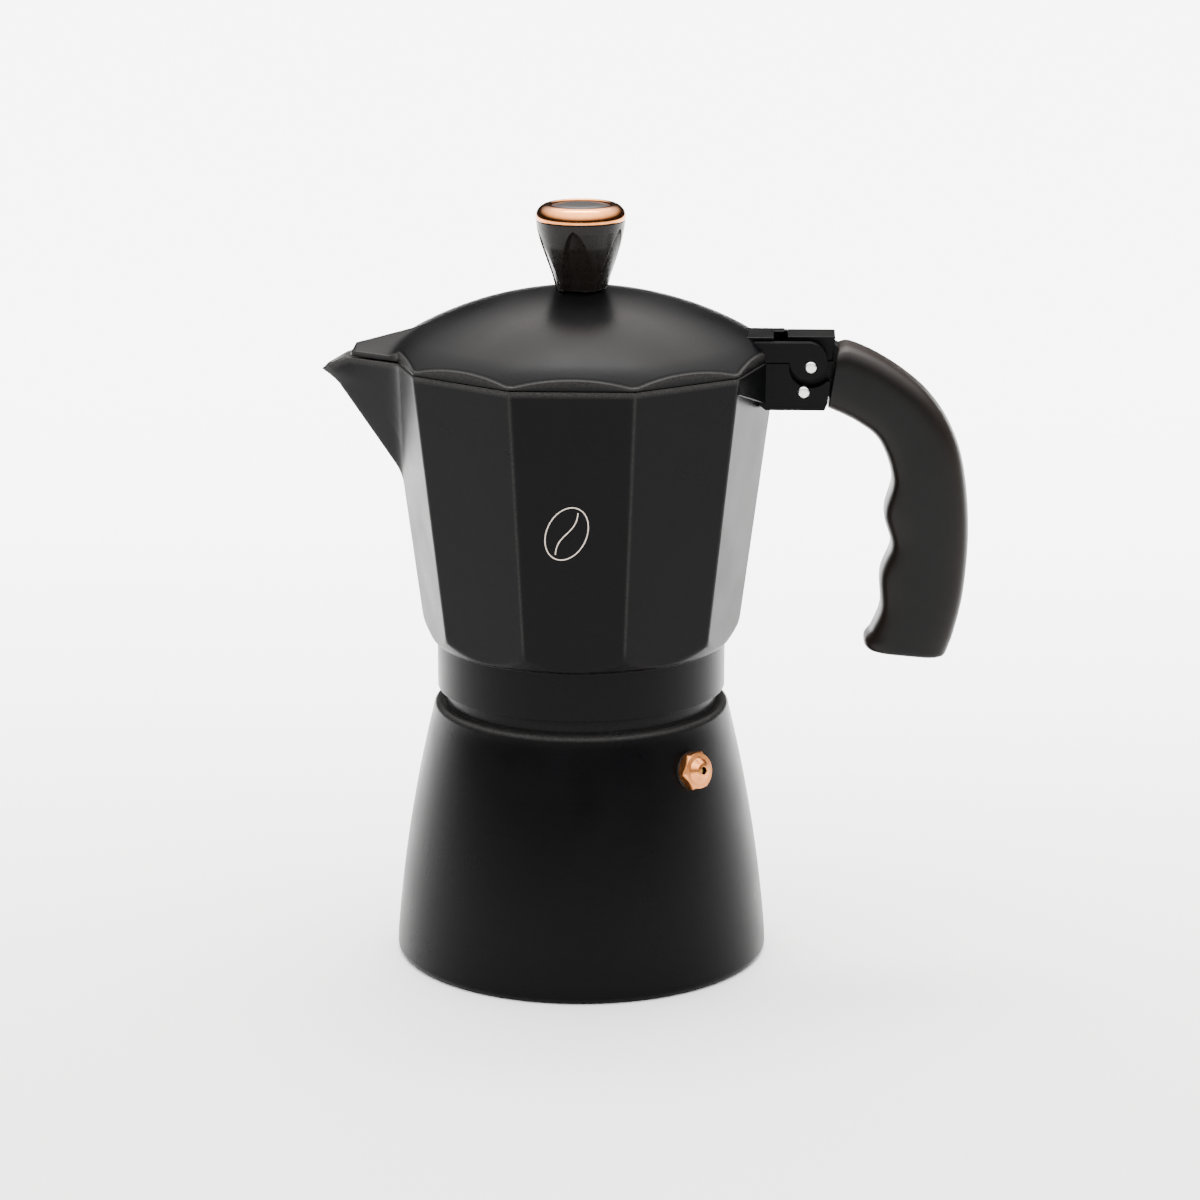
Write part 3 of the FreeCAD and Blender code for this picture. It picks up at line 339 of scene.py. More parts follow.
WALL_FOOT, WALL_TOP = (49.9, 2.9), (39.3, 68.7)
NECK_RADIUS, THREAD_PITCH = 35.1, 2.4
NECK_ROWS = np.linspace(73.9, 83.4, 58)
outer_wall = filleted(
    [(0, 0, 0), (38, 0, 0), (39, 0.4, 0.5), (44.5, 0.4, 0.5), (45.5, 0, 0.5), (49.9, 0, 3.0)]
    + sharp_corners(bowed(WALL_FOOT, WALL_TOP, 395, 30))
    + [(39.2, 69.8, 1.8), (36.1, 69.8, 0.25), (36.1, 73.45, 0.3),
       (NECK_RADIUS, 73.45, 0.3)])
inner_wall = filleted(
    [(NECK_RADIUS, 83.7, 0), (NECK_RADIUS, 84.0, 0.25), (30.3, 84.0, 0.35), (30.3, 76.0, 1.5),
     (36.3, 67.7, 2.0)]
    + sharp_corners(bowed((46.9, 9.0), (36.3, 67.7), 392, 16)[::-1])
    + [(46.9, 4.0, 5.0), (0, 4.0, 0)])
neck = np.stack([NECK_RADIUS + 0 * NECK_ROWS, NECK_ROWS], 1)
boiler_outline = np.concatenate([outer_wall, neck, inner_wall])
boiler_points = spun(boiler_outline, 224)
threaded = slice(len(outer_wall), len(outer_wall) + len(NECK_ROWS))
boiler_points[:, threaded] = helical_thread(boiler_points[:, threaded], 74.2, 83.2, THREAD_PITCH, 0.9)
first_bare_row = len(outer_wall) - 1
boiler_rows = np.where(np.arange(len(boiler_outline)) < first_bare_row, 0, 1)
boiler_rub_and_highlight = np.zeros(len(boiler_outline))
# The shoulder's rounding gets a paler, speckled band: partly rubbed coating, partly a painted highlight
# along the rounding.
boiler_rub_and_highlight[:len(outer_wall)] = np.exp(-((outer_wall[:, 1] - 69.4) / 0.7) ** 2) * 0.5
boiler = surface("boiler_casting", boiler_points, [coated, cast_metal], boiler_rows, wear_and_sheen=boiler_rub_and_highlight)
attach(boiler, "boiler")
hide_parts("boiler")

# ---------------------------------------------------------------- collector
# The upper chamber: a second casting, ten-sided, whose underside was turned round so that it cuts
# the flat sides in scallops. The spout is a folded beak that grows out of one corner.
# Coated like the boiler outside; bare inside.

FACETS = 10
HALF_FACET = math.pi / FACETS
CUP_LOW, CUP_RIM = 84.0, 163.2
LOW_CORNER, RIM_CORNER = 41.43, 51.8
SKIRT_BORE, SKIRT_OUTSIDE, RIM_ROUNDING = 36.3, 38.4, 0.45
SPOUT_FOOT, SPOUT_FOOT_Z, SPOUT_SLOPE, SPOUT_FLARE = 48.4, 132.3, 1.458, 0.6465
SPOUT_TOP, DIP_START, BEAK_TIP, BEAK_DIP = 163.0, 61.5, 69.4, 3.9


def soft_min(a, b, width):
    """The smaller of two lengths, rounded over width where they cross."""
    near = np.clip(1 - np.abs(a - b) / width, 0, 1)
    return np.minimum(a, b) - width * near ** 2 / 4


def soft_max(a, b, width):
    """The larger of two lengths, rounded over width where they cross."""
    return -soft_min(-a, -b, width)


def ten_sides(angle, corner_radius, rounding=0.36):
    """Distance from the axis to a ten-sided outline with slightly rounded corners: each side is
    its apothem over the cosine of the angle to its middle, and the nearer side wins."""
    apothem = corner_radius * math.cos(HALF_FACET)
    step = 2 * HALF_FACET
    middle = (np.floor(angle / step) + 0.5) * step
    aside = angle - middle
    other = step - np.abs(aside)
    return soft_min(apothem / np.cos(aside), apothem / np.cos(other), rounding)


def corner_angles(uniform, beak=True):
    """Angles round the pot, even in general and dense at the ten corners and at the beak."""
    even = np.linspace(0, 2 * math.pi, uniform, endpoint=False)
    near = np.radians(np.array([-1.0, -0.7, -0.5, -0.35, -0.2, -0.1, 0, 0.1, 0.2, 0.35, 0.5, 0.7, 1.0]))
    corners = (np.arange(FACETS)[:, None] * 2 * HALF_FACET + near).ravel()
    ridge = math.pi + np.radians(np.linspace(-6, 6, 41)) if beak else np.array([])
    angles = np.sort(np.concatenate([even, corners, ridge]) % (2 * math.pi))
    keep = np.concatenate([[True], np.diff(angles) > math.radians(0.04)])
    return angles[keep]


def cup_corner(height, inset=0.0):
    """Corner radius of the tapered ten-sided cup at a height; the taper starts above the skirt."""
    height = np.maximum(height, CUP_LOW)
    return LOW_CORNER - inset + (height - CUP_LOW) / (CUP_RIM - CUP_LOW) * (RIM_CORNER - LOW_CORNER)


def beak_radius(angle, height, inset=0.0):
    """Distance from the axis to the folded beak: its flat sides meet in a ridge that leans out
    with height, and its lip flares near the top."""
    off_axis = np.abs(angle % (2 * math.pi) - math.pi)
    lip = np.clip((height - 155.0) / 5.0, 0, 1)
    flare = 2.8 * lip ** 1.6 * np.exp(-(np.degrees(off_axis) / 4.0) ** 2)
    ridge = SPOUT_FOOT - inset + (height - SPOUT_FOOT_Z) / SPOUT_SLOPE + 0.45
    blunt = np.hypot(np.sin(off_axis), 0.006)
    radius = ridge * SPOUT_FLARE / (blunt + SPOUT_FLARE * np.cos(off_axis)) + flare
    return np.where(off_axis < 1.0, radius, 0.0)


def turned_underside(height):
    """Radius of the lathe cut under the cup: straight up the skirt, a tight crease, then a round
    belly that runs out past the flat sides."""
    path = filleted([(SKIRT_OUTSIDE, 70, 0), (SKIRT_OUTSIDE, 86.7, 0.35), (39.7, 87.3, 0.9),
                     (42.0, 90.6, 4.0), (43.6, 95.5, 9.0), (62, 150, 0)], 8)
    return np.interp(height, path[:, 1], path[:, 0])


def cup_outside(angle, height):
    """Outer radius of the collector: the flat sides, trimmed by the lathe, joined to the beak."""
    sides = ten_sides(angle, cup_corner(height))
    body = soft_min(sides, turned_underside(height), 0.3)
    return soft_max(body, beak_radius(angle, height), 1.6)


def cup_inside(angle, height):
    """Inner radius: the same sides set in by the wall, opened into the beak's channel."""
    sides = ten_sides(angle, cup_corner(height, 2.63), 1.5)
    belly = np.interp(height, [93.5, 94.2, 95.5, 97.2, 99.4, 170], [33.0, 35.6, 37.5, 38.6, 39.3, 60])
    return soft_max(soft_min(sides, belly, 1.0), beak_radius(angle, height, 3.4), 1.0)


def rim_height(angle, radius_at):
    """Height of the rim: level, but falling in a straight line along the beak to its tip."""
    height = np.full_like(angle, SPOUT_TOP)
    for _ in range(24):
        reach = -radius_at(angle, height) * np.cos(angle)
        dip = BEAK_DIP * np.clip((reach - DIP_START) / (BEAK_TIP - DIP_START), 0, 1.1)
        height = 0.5 * height + 0.5 * (SPOUT_TOP - dip)
    blend = np.clip((np.abs((angle % (2 * math.pi)) - math.pi) - 0.26) / 0.05, 0, 1)
    return height + blend * (CUP_RIM - SPOUT_TOP)


angles = corner_angles(180)
outer_rim = rim_height(angles, cup_outside)
inner_rim = rim_height(angles, cup_inside)
skirt_rows = np.linspace(83.9, 74.6, 46)
under_outline = filleted([(5.0, 93.3, 0), (9.0, 93.3, 0.5), (27.5, 90.2, 0.5), (27.5, 89.2, 0.3),
                          (29.7, 89.2, 0.3), (29.7, 88.3, 0.2), (33.1, 88.3, 0.3), (33.1, 84.35, 0.3),
                          (SKIRT_BORE, 84.35, 0.3), (SKIRT_BORE, 84.1, 0)], 4)
skirt_bore = np.stack([SKIRT_BORE + 0 * skirt_rows, skirt_rows], 1)
skirt_foot = filleted([(SKIRT_BORE, 74.4, 0), (36.8, 73.75, 0.2), (SKIRT_OUTSIDE, 73.75, 0.3),
                       (SKIRT_OUTSIDE, 75.0, 0)], 5)
turned_part = np.concatenate([under_outline, skirt_bore, skirt_foot])
turned_points = np.stack([turned_part[:, 0] * np.cos(angles)[:, None],
                          turned_part[:, 0] * np.sin(angles)[:, None],
                          turned_part[:, 1] + 0 * angles[:, None]], -1)
bored = slice(len(under_outline), len(under_outline) + len(skirt_bore))
turned_points[:, bored] = helical_thread(turned_points[:, bored], 74.7, 83.8, THREAD_PITCH, 0.65)


def wall_rows(angle, low, rim, radius_at, share):
    """Points up a wall: heights are shares of the way from low to the rim of each column."""
    height = low + (rim[:, None] - low) * share
    radius = radius_at(angle[:, None] + 0 * height, height)
    return np.stack([radius * np.cos(angle[:, None]), radius * np.sin(angle[:, None]), height], -1)


climb = np.concatenate([np.linspace(0.03, 0.13, 4), np.linspace(0.136, 0.19, 24),
                        np.linspace(0.198, 0.27, 12), np.linspace(0.29, 0.60, 12),
                        np.linspace(0.62, 0.985, 26)])
outer_rows = wall_rows(angles, 74.0, outer_rim - RIM_ROUNDING, cup_outside, climb)
inner_climb = np.concatenate([np.linspace(1.0, 0.4, 22), np.linspace(0.37, 0.06, 12),
                              np.linspace(0.05, 0.0, 8)])
inner_rows = wall_rows(angles, 93.5, inner_rim - RIM_ROUNDING, cup_inside, inner_climb)


def rim_rows(outer_edge, inner_edge, outer_top, inner_top, turns=4):
    """The rolled top of the wall: a quarter round, a flat, and another quarter round."""
    across = inner_edge[:, :2] - outer_edge[:, :2]
    width = np.linalg.norm(across, axis=1, keepdims=True)
    across = across / width
    bend = np.linspace(0, math.pi / 2, turns + 1)
    rows = []
    for b in bend:
        spot = outer_edge[:, :2] + across * RIM_ROUNDING * (1 - math.cos(b))
        rows.append(np.column_stack([spot, outer_top - RIM_ROUNDING * (1 - math.sin(b))]))
    for b in bend[::-1]:
        spot = inner_edge[:, :2] - across * RIM_ROUNDING * (1 - math.cos(b))
        rows.append(np.column_stack([spot, inner_top - RIM_ROUNDING * (1 - math.sin(b))]))
    return np.stack(rows, 1)


outer_edge = wall_rows(angles, 74.0, outer_rim - RIM_ROUNDING, cup_outside, np.array([1.0]))[:, 0]
inner_edge = inner_rows[:, 0]
rolled = rim_rows(outer_edge, inner_edge, outer_rim, inner_rim)
floor_outline = filleted([(33.0, 93.5, 0), (10.5, 96.2, 2.0), (9.0, 96.5, 0.3), (5.0, 96.5, 0)], 4)[1:]
floor_points = np.stack([floor_outline[:, 0] * np.cos(angles)[:, None],
                         floor_outline[:, 0] * np.sin(angles)[:, None],
                         floor_outline[:, 1] + 0 * angles[:, None]], -1)
collector_points = np.concatenate([turned_points, outer_rows, rolled, inner_rows[:, 1:], floor_points], 1)
coat_first = len(under_outline) + len(skirt_bore)
coat_last = turned_points.shape[1] + outer_rows.shape[1] + rolled.shape[1] - 3
collector_rows = np.ones(collector_points.shape[1], int)
collector_rows[coat_first:coat_last] = 0
from_corner = np.abs((angles + HALF_FACET) % (2 * HALF_FACET) - HALF_FACET)
corner_wear = np.exp(-(from_corner / math.radians(0.5)) ** 2)[:, None] * 0.35
rim_wear = np.zeros(collector_points.shape[1])
rim_wear[turned_points.shape[1] + outer_rows.shape[1]:coat_last + 1] = 0.6
above_skirt = np.clip((collector_points[..., 2] - 90) / 4, 0, 1)
collector = surface("collector_casting", collector_points, [coated, cast_metal], collector_rows,
                    along=True, wear_and_sheen=np.maximum(corner_wear * above_skirt, rim_wear))
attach(collector, "collector")
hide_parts("collector")

# ---------------------------------------------------------------- printed mark
# A plain coffee bean, pad-printed in thin cream ink on the front side of the collector: an oval
# outline and the bean's crease.

INK_HALF_WIDTH, INK_THICKNESS = 0.14, 0.03
MARK_CENTRE, MARK_TILT = (-1.6, 125.5), math.radians(-24)
BEAN_LENGTH, BEAN_WIDTH = 7.4, 5.1


def cream_ink():
    """Pad-printed ceramic ink: warm off-white, matt, a little uneven where it met the orange peel."""
    material, tree = new_material("cream_pad_print_ink")
    uneven = pattern(tree, 0.5, 3.0)
    colour = add_node(tree, "ShaderNodeMix", {"data_type": "RGBA"}, Factor=uneven,
                      i6=srgb("#a89a8c"), i7=srgb("#d8ccc0"))
    rough = add_node(tree, "ShaderNodeMapRange", i0=uneven, i3=0.5, i4=0.65)
    shader = add_node(tree, "ShaderNodeBsdfPrincipled", Base_Color=colour.outputs[2],
                      Roughness=rough.outputs[0], IOR=1.4)
    finish_material(tree, shader)
    return material


def on_front_side(flat):
    """Carry (across, up) points to the collector's front side, just proud of the coating."""
    apothem = cup_corner(flat[..., 1]) * math.cos(HALF_FACET)
    return np.stack([flat[..., 0], -(apothem + INK_THICKNESS), flat[..., 1]], -1)


def ink_line(name, path):
    """A thin ribbon of ink: points half a line's width to each side of the path, with ends that
    taper, as a pad print's do."""
    along = np.gradient(path, axis=0)
    along /= np.linalg.norm(along, axis=1, keepdims=True)
    across = np.stack([-along[:, 1], along[:, 0]], 1) * INK_HALF_WIDTH
    edges = np.stack([path + across, path - across], 1)
    ribbon = surface(name, on_front_side(edges), [ink], around=False)
    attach(ribbon, "collector")


ink = cream_ink()
turn_of_oval = np.linspace(0, 2 * math.pi, 97)
bean_axes = np.array([[math.cos(MARK_TILT), math.sin(MARK_TILT)],
                      [-math.sin(MARK_TILT), math.cos(MARK_TILT)]])
oval = np.stack([BEAN_WIDTH * np.cos(turn_of_oval), BEAN_LENGTH * np.sin(turn_of_oval)], 1)
crease_height = np.linspace(-0.86, 0.86, 49)
crease = np.stack([0.9 * np.sin(crease_height * math.pi), crease_height * BEAN_LENGTH], 1)
ink_line("bean_outline_print", oval @ bean_axes + MARK_CENTRE)
ink_line("bean_crease_print", crease @ bean_axes + MARK_CENTRE)

# ---------------------------------------------------------------- hinge bracket
# Cast in one with the collector: a block with sharp cheeks, a hollow in each cheek for the lid's
# ear, a narrower tower between the ears, and a wing that fairs it into the flat sides.

HINGE, HANDLE_PIN = np.array([60.3, 162.2]), np.array([58.5, 155.6])
EAR_CENTRE, EAR_RADIUS = np.array([59.7, 163.7]), 4.85
EAR_HOLLOW = 5.5
LEDGE, CHEEK_OUTSIDE, CHEEK_INSIDE, TOWER_HALF = 163.15, 9.8, 6.65, 5.4


def arc_points(centre, radius, start_deg, end_deg, steps):
    """Points of a circular arc in the XZ plane."""
    turn = np.radians(np.linspace(start_deg, end_deg, steps))
    return [(centre[0] + radius * math.cos(a), centre[1] + radius * math.sin(a)) for a in turn]


def prism(name, loop, offset, material, bevel):
    """A solid between a closed loop of points and the same loop moved by offset, its long
    edges bevelled; the loop runs so that its faces point outwards after recalculation."""
    loop = np.asarray(loop, float)
    count = len(loop)
    corners = np.concatenate([loop, loop + np.asarray(offset, float)]) * MM
    sides = [(i, (i + 1) % count, count + (i + 1) % count, count + i) for i in range(count)]
    mesh = bpy.data.meshes.new(name)
    ends = [tuple(range(count))[::-1], tuple(range(count, 2 * count))]
    mesh.from_pydata(corners.tolist(), [], sides + ends)
    mesh.materials.append(material)
    shape = bmesh.new()
    shape.from_mesh(mesh)
    bmesh.ops.recalc_face_normals(shape, faces=shape.faces)
    shape.to_mesh(mesh)
    shape.free()
    thing = bpy.data.objects.new(name, mesh)
    bpy.context.scene.collection.objects.link(thing)
    edges = thing.modifiers.new("edges", "BEVEL")
    edges.width = bevel * MM
    edges.segments = 3
    edges.limit_method = "ANGLE"
    edges.angle_limit = math.radians(25)
    edges.harden_normals = True
    mesh.polygons.foreach_set("use_smooth", np.ones(len(mesh.polygons), bool))
    mesh.set_sharp_from_angle(angle=math.radians(40))
    return thing


def side_prism(name, outline, low_y, high_y, material, bevel=0.25):
    """A prism whose outline lies in the XZ plane and whose depth runs along Y."""
    loop = [(x, low_y, z) for x, z in outline]
    return prism(name, loop, (0, high_y - low_y, 0), material, bevel)


cheek = ([(45.5, LEDGE), (45.5, 153.4), (48.6, 150.7), (64.0, 150.7), (64.7, 152.3), (65.4, 158.3)]
         + arc_points(HINGE, EAR_HOLLOW, -45, -190, 24))
core = [(45.5, LEDGE), (45.5, 153.4), (48.6, 150.7), (64.0, 150.7), (64.7, 152.3), (66.0, LEDGE - 0.05),
        (66.0, LEDGE)]
tower = [(54.2, 160.0), (65.7, 160.0), (66.7, 169.5), (54.2, 169.5)]
bracket_parts = [
    side_prism("bracket_cheek_near", cheek, -CHEEK_OUTSIDE, -CHEEK_INSIDE + 0.3, coated),
    side_prism("bracket_cheek_far", cheek, CHEEK_INSIDE - 0.3, CHEEK_OUTSIDE, coated),
    side_prism("bracket_core", core, -CHEEK_INSIDE, CHEEK_INSIDE, coated),
    side_prism("bracket_tower", tower, -TOWER_HALF, TOWER_HALF, coated),
]
facet_apothem = RIM_CORNER * math.cos(HALF_FACET)
facet_half = RIM_CORNER * math.sin(HALF_FACET)
for side, name in ((-1, "near"), (1, "far")):
    across = np.array([-math.sin(HALF_FACET) * side, math.cos(HALF_FACET), 0]) * side
    outward = np.array([math.cos(HALF_FACET), math.sin(HALF_FACET) * side, 0])
    wing = [outward * (facet_apothem + 0.02) + across * along + np.array([0, 0, height])
            for along, height in ((-facet_half + 4.0, 150.7), (facet_half - 0.2, 158.9),
                                  (facet_half - 0.2, 162.95), (-facet_half + 4.0, 162.95))]
    bracket_parts.append(prism("bracket_wing_" + name, wing, -outward * 2.0, coated, 0.2))
for part in bracket_parts:
    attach(part, "collector")

# ---------------------------------------------------------------- lid
# A pressed and trimmed dome whose edge follows the ten sides, with a gabled cover over the spout
# and a lip that drops inside the rim. Two ears reach back to the hinge pin. Coated all over.

LID_BOTTOM, LID_CORNER, LID_WALL, LID_INSET = 163.4, 51.6, 1.8, 1.6
DOME_TOP, DOME_RADIUS = 180.7, 92.0
TONGUE_START, TONGUE_HALF, TONGUE_TAPER, TONGUE_TIP = 46.0, 14.0, 0.6127, 60.2


def dome_height(radius):
    """A shallow sphere that turns down more steeply near the edge, with a flat pad on top."""
    sphere = DOME_TOP - DOME_RADIUS + np.sqrt(DOME_RADIUS ** 2 - np.minimum(radius, 80) ** 2)
    droop = np.clip(radius - 44.0, 0, None) ** 2 * 0.019
    return soft_min(sphere - droop, DOME_TOP - 0.1 + 0 * radius, 0.08)


def gable_height(x, y):
    """The spout cover's roof: a ridge that falls outwards, flat slopes to both sides, and a
    raked end."""
    out = -x
    ridge = 169.4 - (out - TONGUE_START) * 0.275
    half = TONGUE_HALF - (out - TONGUE_START) * TONGUE_TAPER
    slope = (ridge - (LID_BOTTOM + 0.9)) / np.maximum(half, 2.0)
    roof = ridge + 0.35 - slope * np.hypot(y, 0.5)
    end = LID_BOTTOM + 0.7 + (60.3 - out) * 2.2
    return soft_min(roof, end, 0.7)


def lid_edge(angle, inset=0.0):
    """Distance from the axis to the lid's edge: ten sides, plus the cover's tapering tongue."""
    off_axis = np.abs((angle % (2 * math.pi)) - math.pi)
    half_at_axis = TONGUE_HALF - inset + 28.18
    side = half_at_axis / (np.sin(off_axis) + TONGUE_TAPER * np.cos(off_axis))
    tip = (TONGUE_TIP - inset) / np.maximum(np.cos(off_axis), 0.2)
    tongue = np.where(off_axis < 0.5, soft_min(side, tip, 1.0), 0.0)
    return soft_max(ten_sides(angle, LID_CORNER - inset), tongue, 0.8)


lid_angles = corner_angles(300)
edge = lid_edge(lid_angles)
share = np.concatenate([np.linspace(2.3 / 50, 0.16, 8), np.linspace(0.17, 0.80, 26),
                        np.linspace(0.81, 0.985, 26)])


def lid_skin(radius):
    """Outside height of the lid at a grid of radii along each column."""
    x, y = radius * np.cos(lid_angles)[:, None], radius * np.sin(lid_angles)[:, None]
    roof = np.where(x < -40, gable_height(x, y), 0.0)
    return soft_max(dome_height(radius), roof, 0.5)


radius_top = edge[:, None] * share
height_top = lid_skin(radius_top)
edge_height = np.maximum(lid_skin(edge[:, None]), LID_BOTTOM + 0.75)[:, 0]
bend = np.linspace(0, math.pi / 2, 5)
round_off = 0.4
radius_band = edge[:, None] - round_off * (1 - np.sin(bend))
height_band = edge_height[:, None] + 0.12 - round_off * (1 - np.cos(bend))
lower = np.linspace(0, math.pi / 2, 4)
radius_low = edge[:, None] - 0.2 * (1 - np.cos(lower))
height_low = LID_BOTTOM + 0.2 * (1 - np.sin(lower)) + 0 * edge[:, None]
inside_edge = lid_edge(lid_angles, LID_INSET)
under_share = np.concatenate([np.linspace(1.0, 0.86, 14), np.linspace(0.84, 2.3 / 48, 18)])
radius_under = inside_edge[:, None] * under_share
height_under = np.maximum(lid_skin(radius_under) - LID_WALL, LID_BOTTOM + 0.05)
height_under[:, 0] = LID_BOTTOM
lid_radius = np.concatenate([radius_top, radius_band, radius_low, radius_under], 1)
lid_height = np.concatenate([height_top, height_band, height_low, height_under], 1)
lid_points = np.stack([lid_radius * np.cos(lid_angles)[:, None],
                       lid_radius * np.sin(lid_angles)[:, None], lid_height], -1)[:, ::-1]
lid_wear = np.zeros(lid_points.shape[1])
lid_wear[-len(share) - 5:-len(share)] = 0.5
lid = surface("lid_casting", lid_points, [coated], along=True, wear_and_sheen=lid_wear)
lip_outline = filleted([(44.9, 166.6, 0), (44.9, 161.0, 0.3), (46.3, 161.0, 0.3), (46.3, 166.4, 0)], 4)
lip = surface("lid_lip", spun(lip_outline), [coated], along=True)
arm_top = EAR_CENTRE[1] + EAR_RADIUS
arm_outline = ([(46.0, LID_BOTTOM), (54.9, LID_BOTTOM)] + arc_points(EAR_CENTRE, EAR_RADIUS, 184, 450, 44)
               + [(45.6, arm_top)])
BACK_TOP = 169.45
back_outline = [(45.4, LID_BOTTOM), (50.5, LID_BOTTOM), (51.0, 165.4), (51.9, 167.4), (53.6, BACK_TOP),
                (43.0, BACK_TOP)]
near_back_outline = [(45.4, LID_BOTTOM), (50.4, LID_BOTTOM), (50.7, 166.0), (50.7, BACK_TOP),
                     (43.0, BACK_TOP)]
lid_parts = [
    lid, lip,
    side_prism("lid_ear_near", arm_outline, -9.9, -6.9, coated, 0.3),
    side_prism("lid_ear_far", arm_outline, 6.9, 9.9, coated, 0.3),
    side_prism("lid_back", near_back_outline, -6.9, 3.0, coated, 0.3),
    side_prism("lid_back_stop", back_outline, 2.4, 6.9, coated, 0.3),
]
for part in lid_parts:
    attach(part, "lid")
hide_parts("lid")

# ---------------------------------------------------------------- hinge pins
# Two plain stainless pins, pushed through and left with a bright, slightly domed end.


def steel_pin():
    """Drawn and cropped stainless steel: bright, with fine turning rings on its end."""
    material, tree = new_material("drawn_stainless_steel")
    fine = pattern(tree, 0.3, 2.0)
    rough = add_node(tree, "ShaderNodeMapRange", i0=fine, i3=0.22, i4=0.36)
    shader = add_node(tree, "ShaderNodeBsdfPrincipled", Base_Color=srgb("#dededc"), Metallic=1.0,
                      Roughness=rough.outputs[0])
    finish_material(tree, shader)
    return material


pin_steel = steel_pin()
pin_outline = filleted([(0, -10.5, 0), (1.2, -10.4, 0.3), (1.5, -10.1, 0.15), (1.5, 10.1, 0.15),
                        (1.2, 10.4, 0.3), (0, 10.5, 0)], 4)
for node, (x, z) in (("hinge_pin", HINGE), ("handle_pin", HANDLE_PIN)):
    upright = spun(pin_outline, 48)
    lying = np.stack([upright[..., 0] + x, -upright[..., 2], upright[..., 1] + z], -1)
    pin = surface(node + "_turned", lying, [pin_steel])
    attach(pin, "collector")
    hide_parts(node)

# ---------------------------------------------------------------- handle
# Compression-moulded phenolic resin: flat flanks, rounded back and finger side, four finger
# grooves and a slanted, slightly rounded end. Its tongue goes into the bracket.


def black_phenolic():
    """Moulded phenolic: a satin black with a faint warm sheen painted as a lighter brown colour on its
    rounded back and finger side, and the fine matt texture of the mould on its flanks."""
    material, tree = new_material("satin_phenolic_resin")
    texture = pattern(tree, 0.45, 3.0)
    clouds = pattern(tree, 18.0)
    wear_and_sheen = add_node(tree, "ShaderNodeAttribute", {"attribute_name": "wear_and_sheen"}).outputs["Fac"]
    # Warm brown where the attribute is high: on the handle this is a painted sheen along its rounded edges.
    colour = add_node(tree, "ShaderNodeMix", {"data_type": "RGBA"}, Factor=wear_and_sheen,
                      i6=srgb("#060606"), i7=srgb("#1a1411"))
    rough = add_node(tree, "ShaderNodeMapRange", i0=clouds, i1=0.3, i2=0.7, i3=0.34, i4=0.42)
    bump = add_node(tree, "ShaderNodeBump", Strength=0.15, Distance=0.00008, Height=texture)
    shader = add_node(tree, "ShaderNodeBsdfPrincipled", Base_Color=colour.outputs[2],
                      Roughness=rough.outputs[0], IOR=1.23, Normal=bump.outputs[0])
    finish_material(tree, shader)
    return material


phenolic = black_phenolic()
BACK = [(67.4, 166.5), (70.5, 166.9), (77.3, 164.1), (84.7, 159.5), (91.5, 153.6), (97.2, 145.3),
        (100.9, 134.6), (102.5, 118.3), (101.6, 101.9), (99.3, 90.5), (96.8, 83.2)]
FINGERS = [(64.9, 150.5), (72.5, 146.8), (78.6, 141.6), (82.0, 131.4), (80.1, 122.0), (82.0, 113.5),
           (79.3, 105.3), (79.5, 96.5), (77.3, 90.3), (75.3, 87.2), (76.5, 84.9)]


def smooth_curve(points, steps):
    """A Catmull-Rom curve through the points, resampled evenly along its length."""
    points = np.asarray(points, float)
    padded = np.vstack([2 * points[0] - points[1], points, 2 * points[-1] - points[-2]])
    t = np.linspace(0, 1, 24, endpoint=False)[:, None]
    spans = [0.5 * (2 * b + (c - a) * t + (2 * a - 5 * b + 4 * c - d) * t ** 2
                    + (3 * b - a - 3 * c + d) * t ** 3)
             for a, b, c, d in zip(padded[:-3], padded[1:-2], padded[2:-1], padded[3:])]
    fine = np.vstack(spans + [points[-1:]])
    length = np.concatenate([[0], np.cumsum(np.linalg.norm(np.diff(fine, axis=0), axis=1))])
    even = np.linspace(0, length[-1], steps)
    return np.stack([np.interp(even, length, fine[:, k]) for k in (0, 1)], 1)


GRIP_STEPS = 180
back_curve = smooth_curve(BACK, GRIP_STEPS)
finger_curve = smooth_curve(FINGERS, GRIP_STEPS)
middle = (back_curve + finger_curve) / 2
toward_back = (back_curve - finger_curve) / 2
around_grip = np.linspace(0, 2 * math.pi, 72, endpoint=False)


def squircle(angle, power):
    """A rounded rectangle of half size one: sign times cosine and sine to the power 2/power."""
    c, s = np.cos(angle), np.sin(angle)
    return np.sign(c) * np.abs(c) ** (2 / power), np.sign(s) * np.abs(s) ** (2 / power)


along_back, along_side = squircle(around_grip, 4.2)
GRIP_HALF_WIDTH = 9.0
station = np.linspace(0, 1, GRIP_STEPS)
end_round = np.sqrt(np.clip(1 - np.clip((station - 0.985) / 0.015, 0, 1) ** 2, 0, 1)) * 0.12 + 0.88
grip = (middle[:, None] + toward_back[:, None] * (along_back * end_round[:, None])[..., None])
grip_points = np.stack([grip[..., 0], along_side * GRIP_HALF_WIDTH * end_round[:, None], grip[..., 1]], -1)
start_cap = grip_points[:1] * 0 + np.array([middle[0, 0], 0, middle[0, 1]])
end_cap = grip_points[-1:] * 0 + np.array([middle[-1, 0], 0, middle[-1, 1]])
grip_points = np.concatenate([start_cap, grip_points, end_cap])
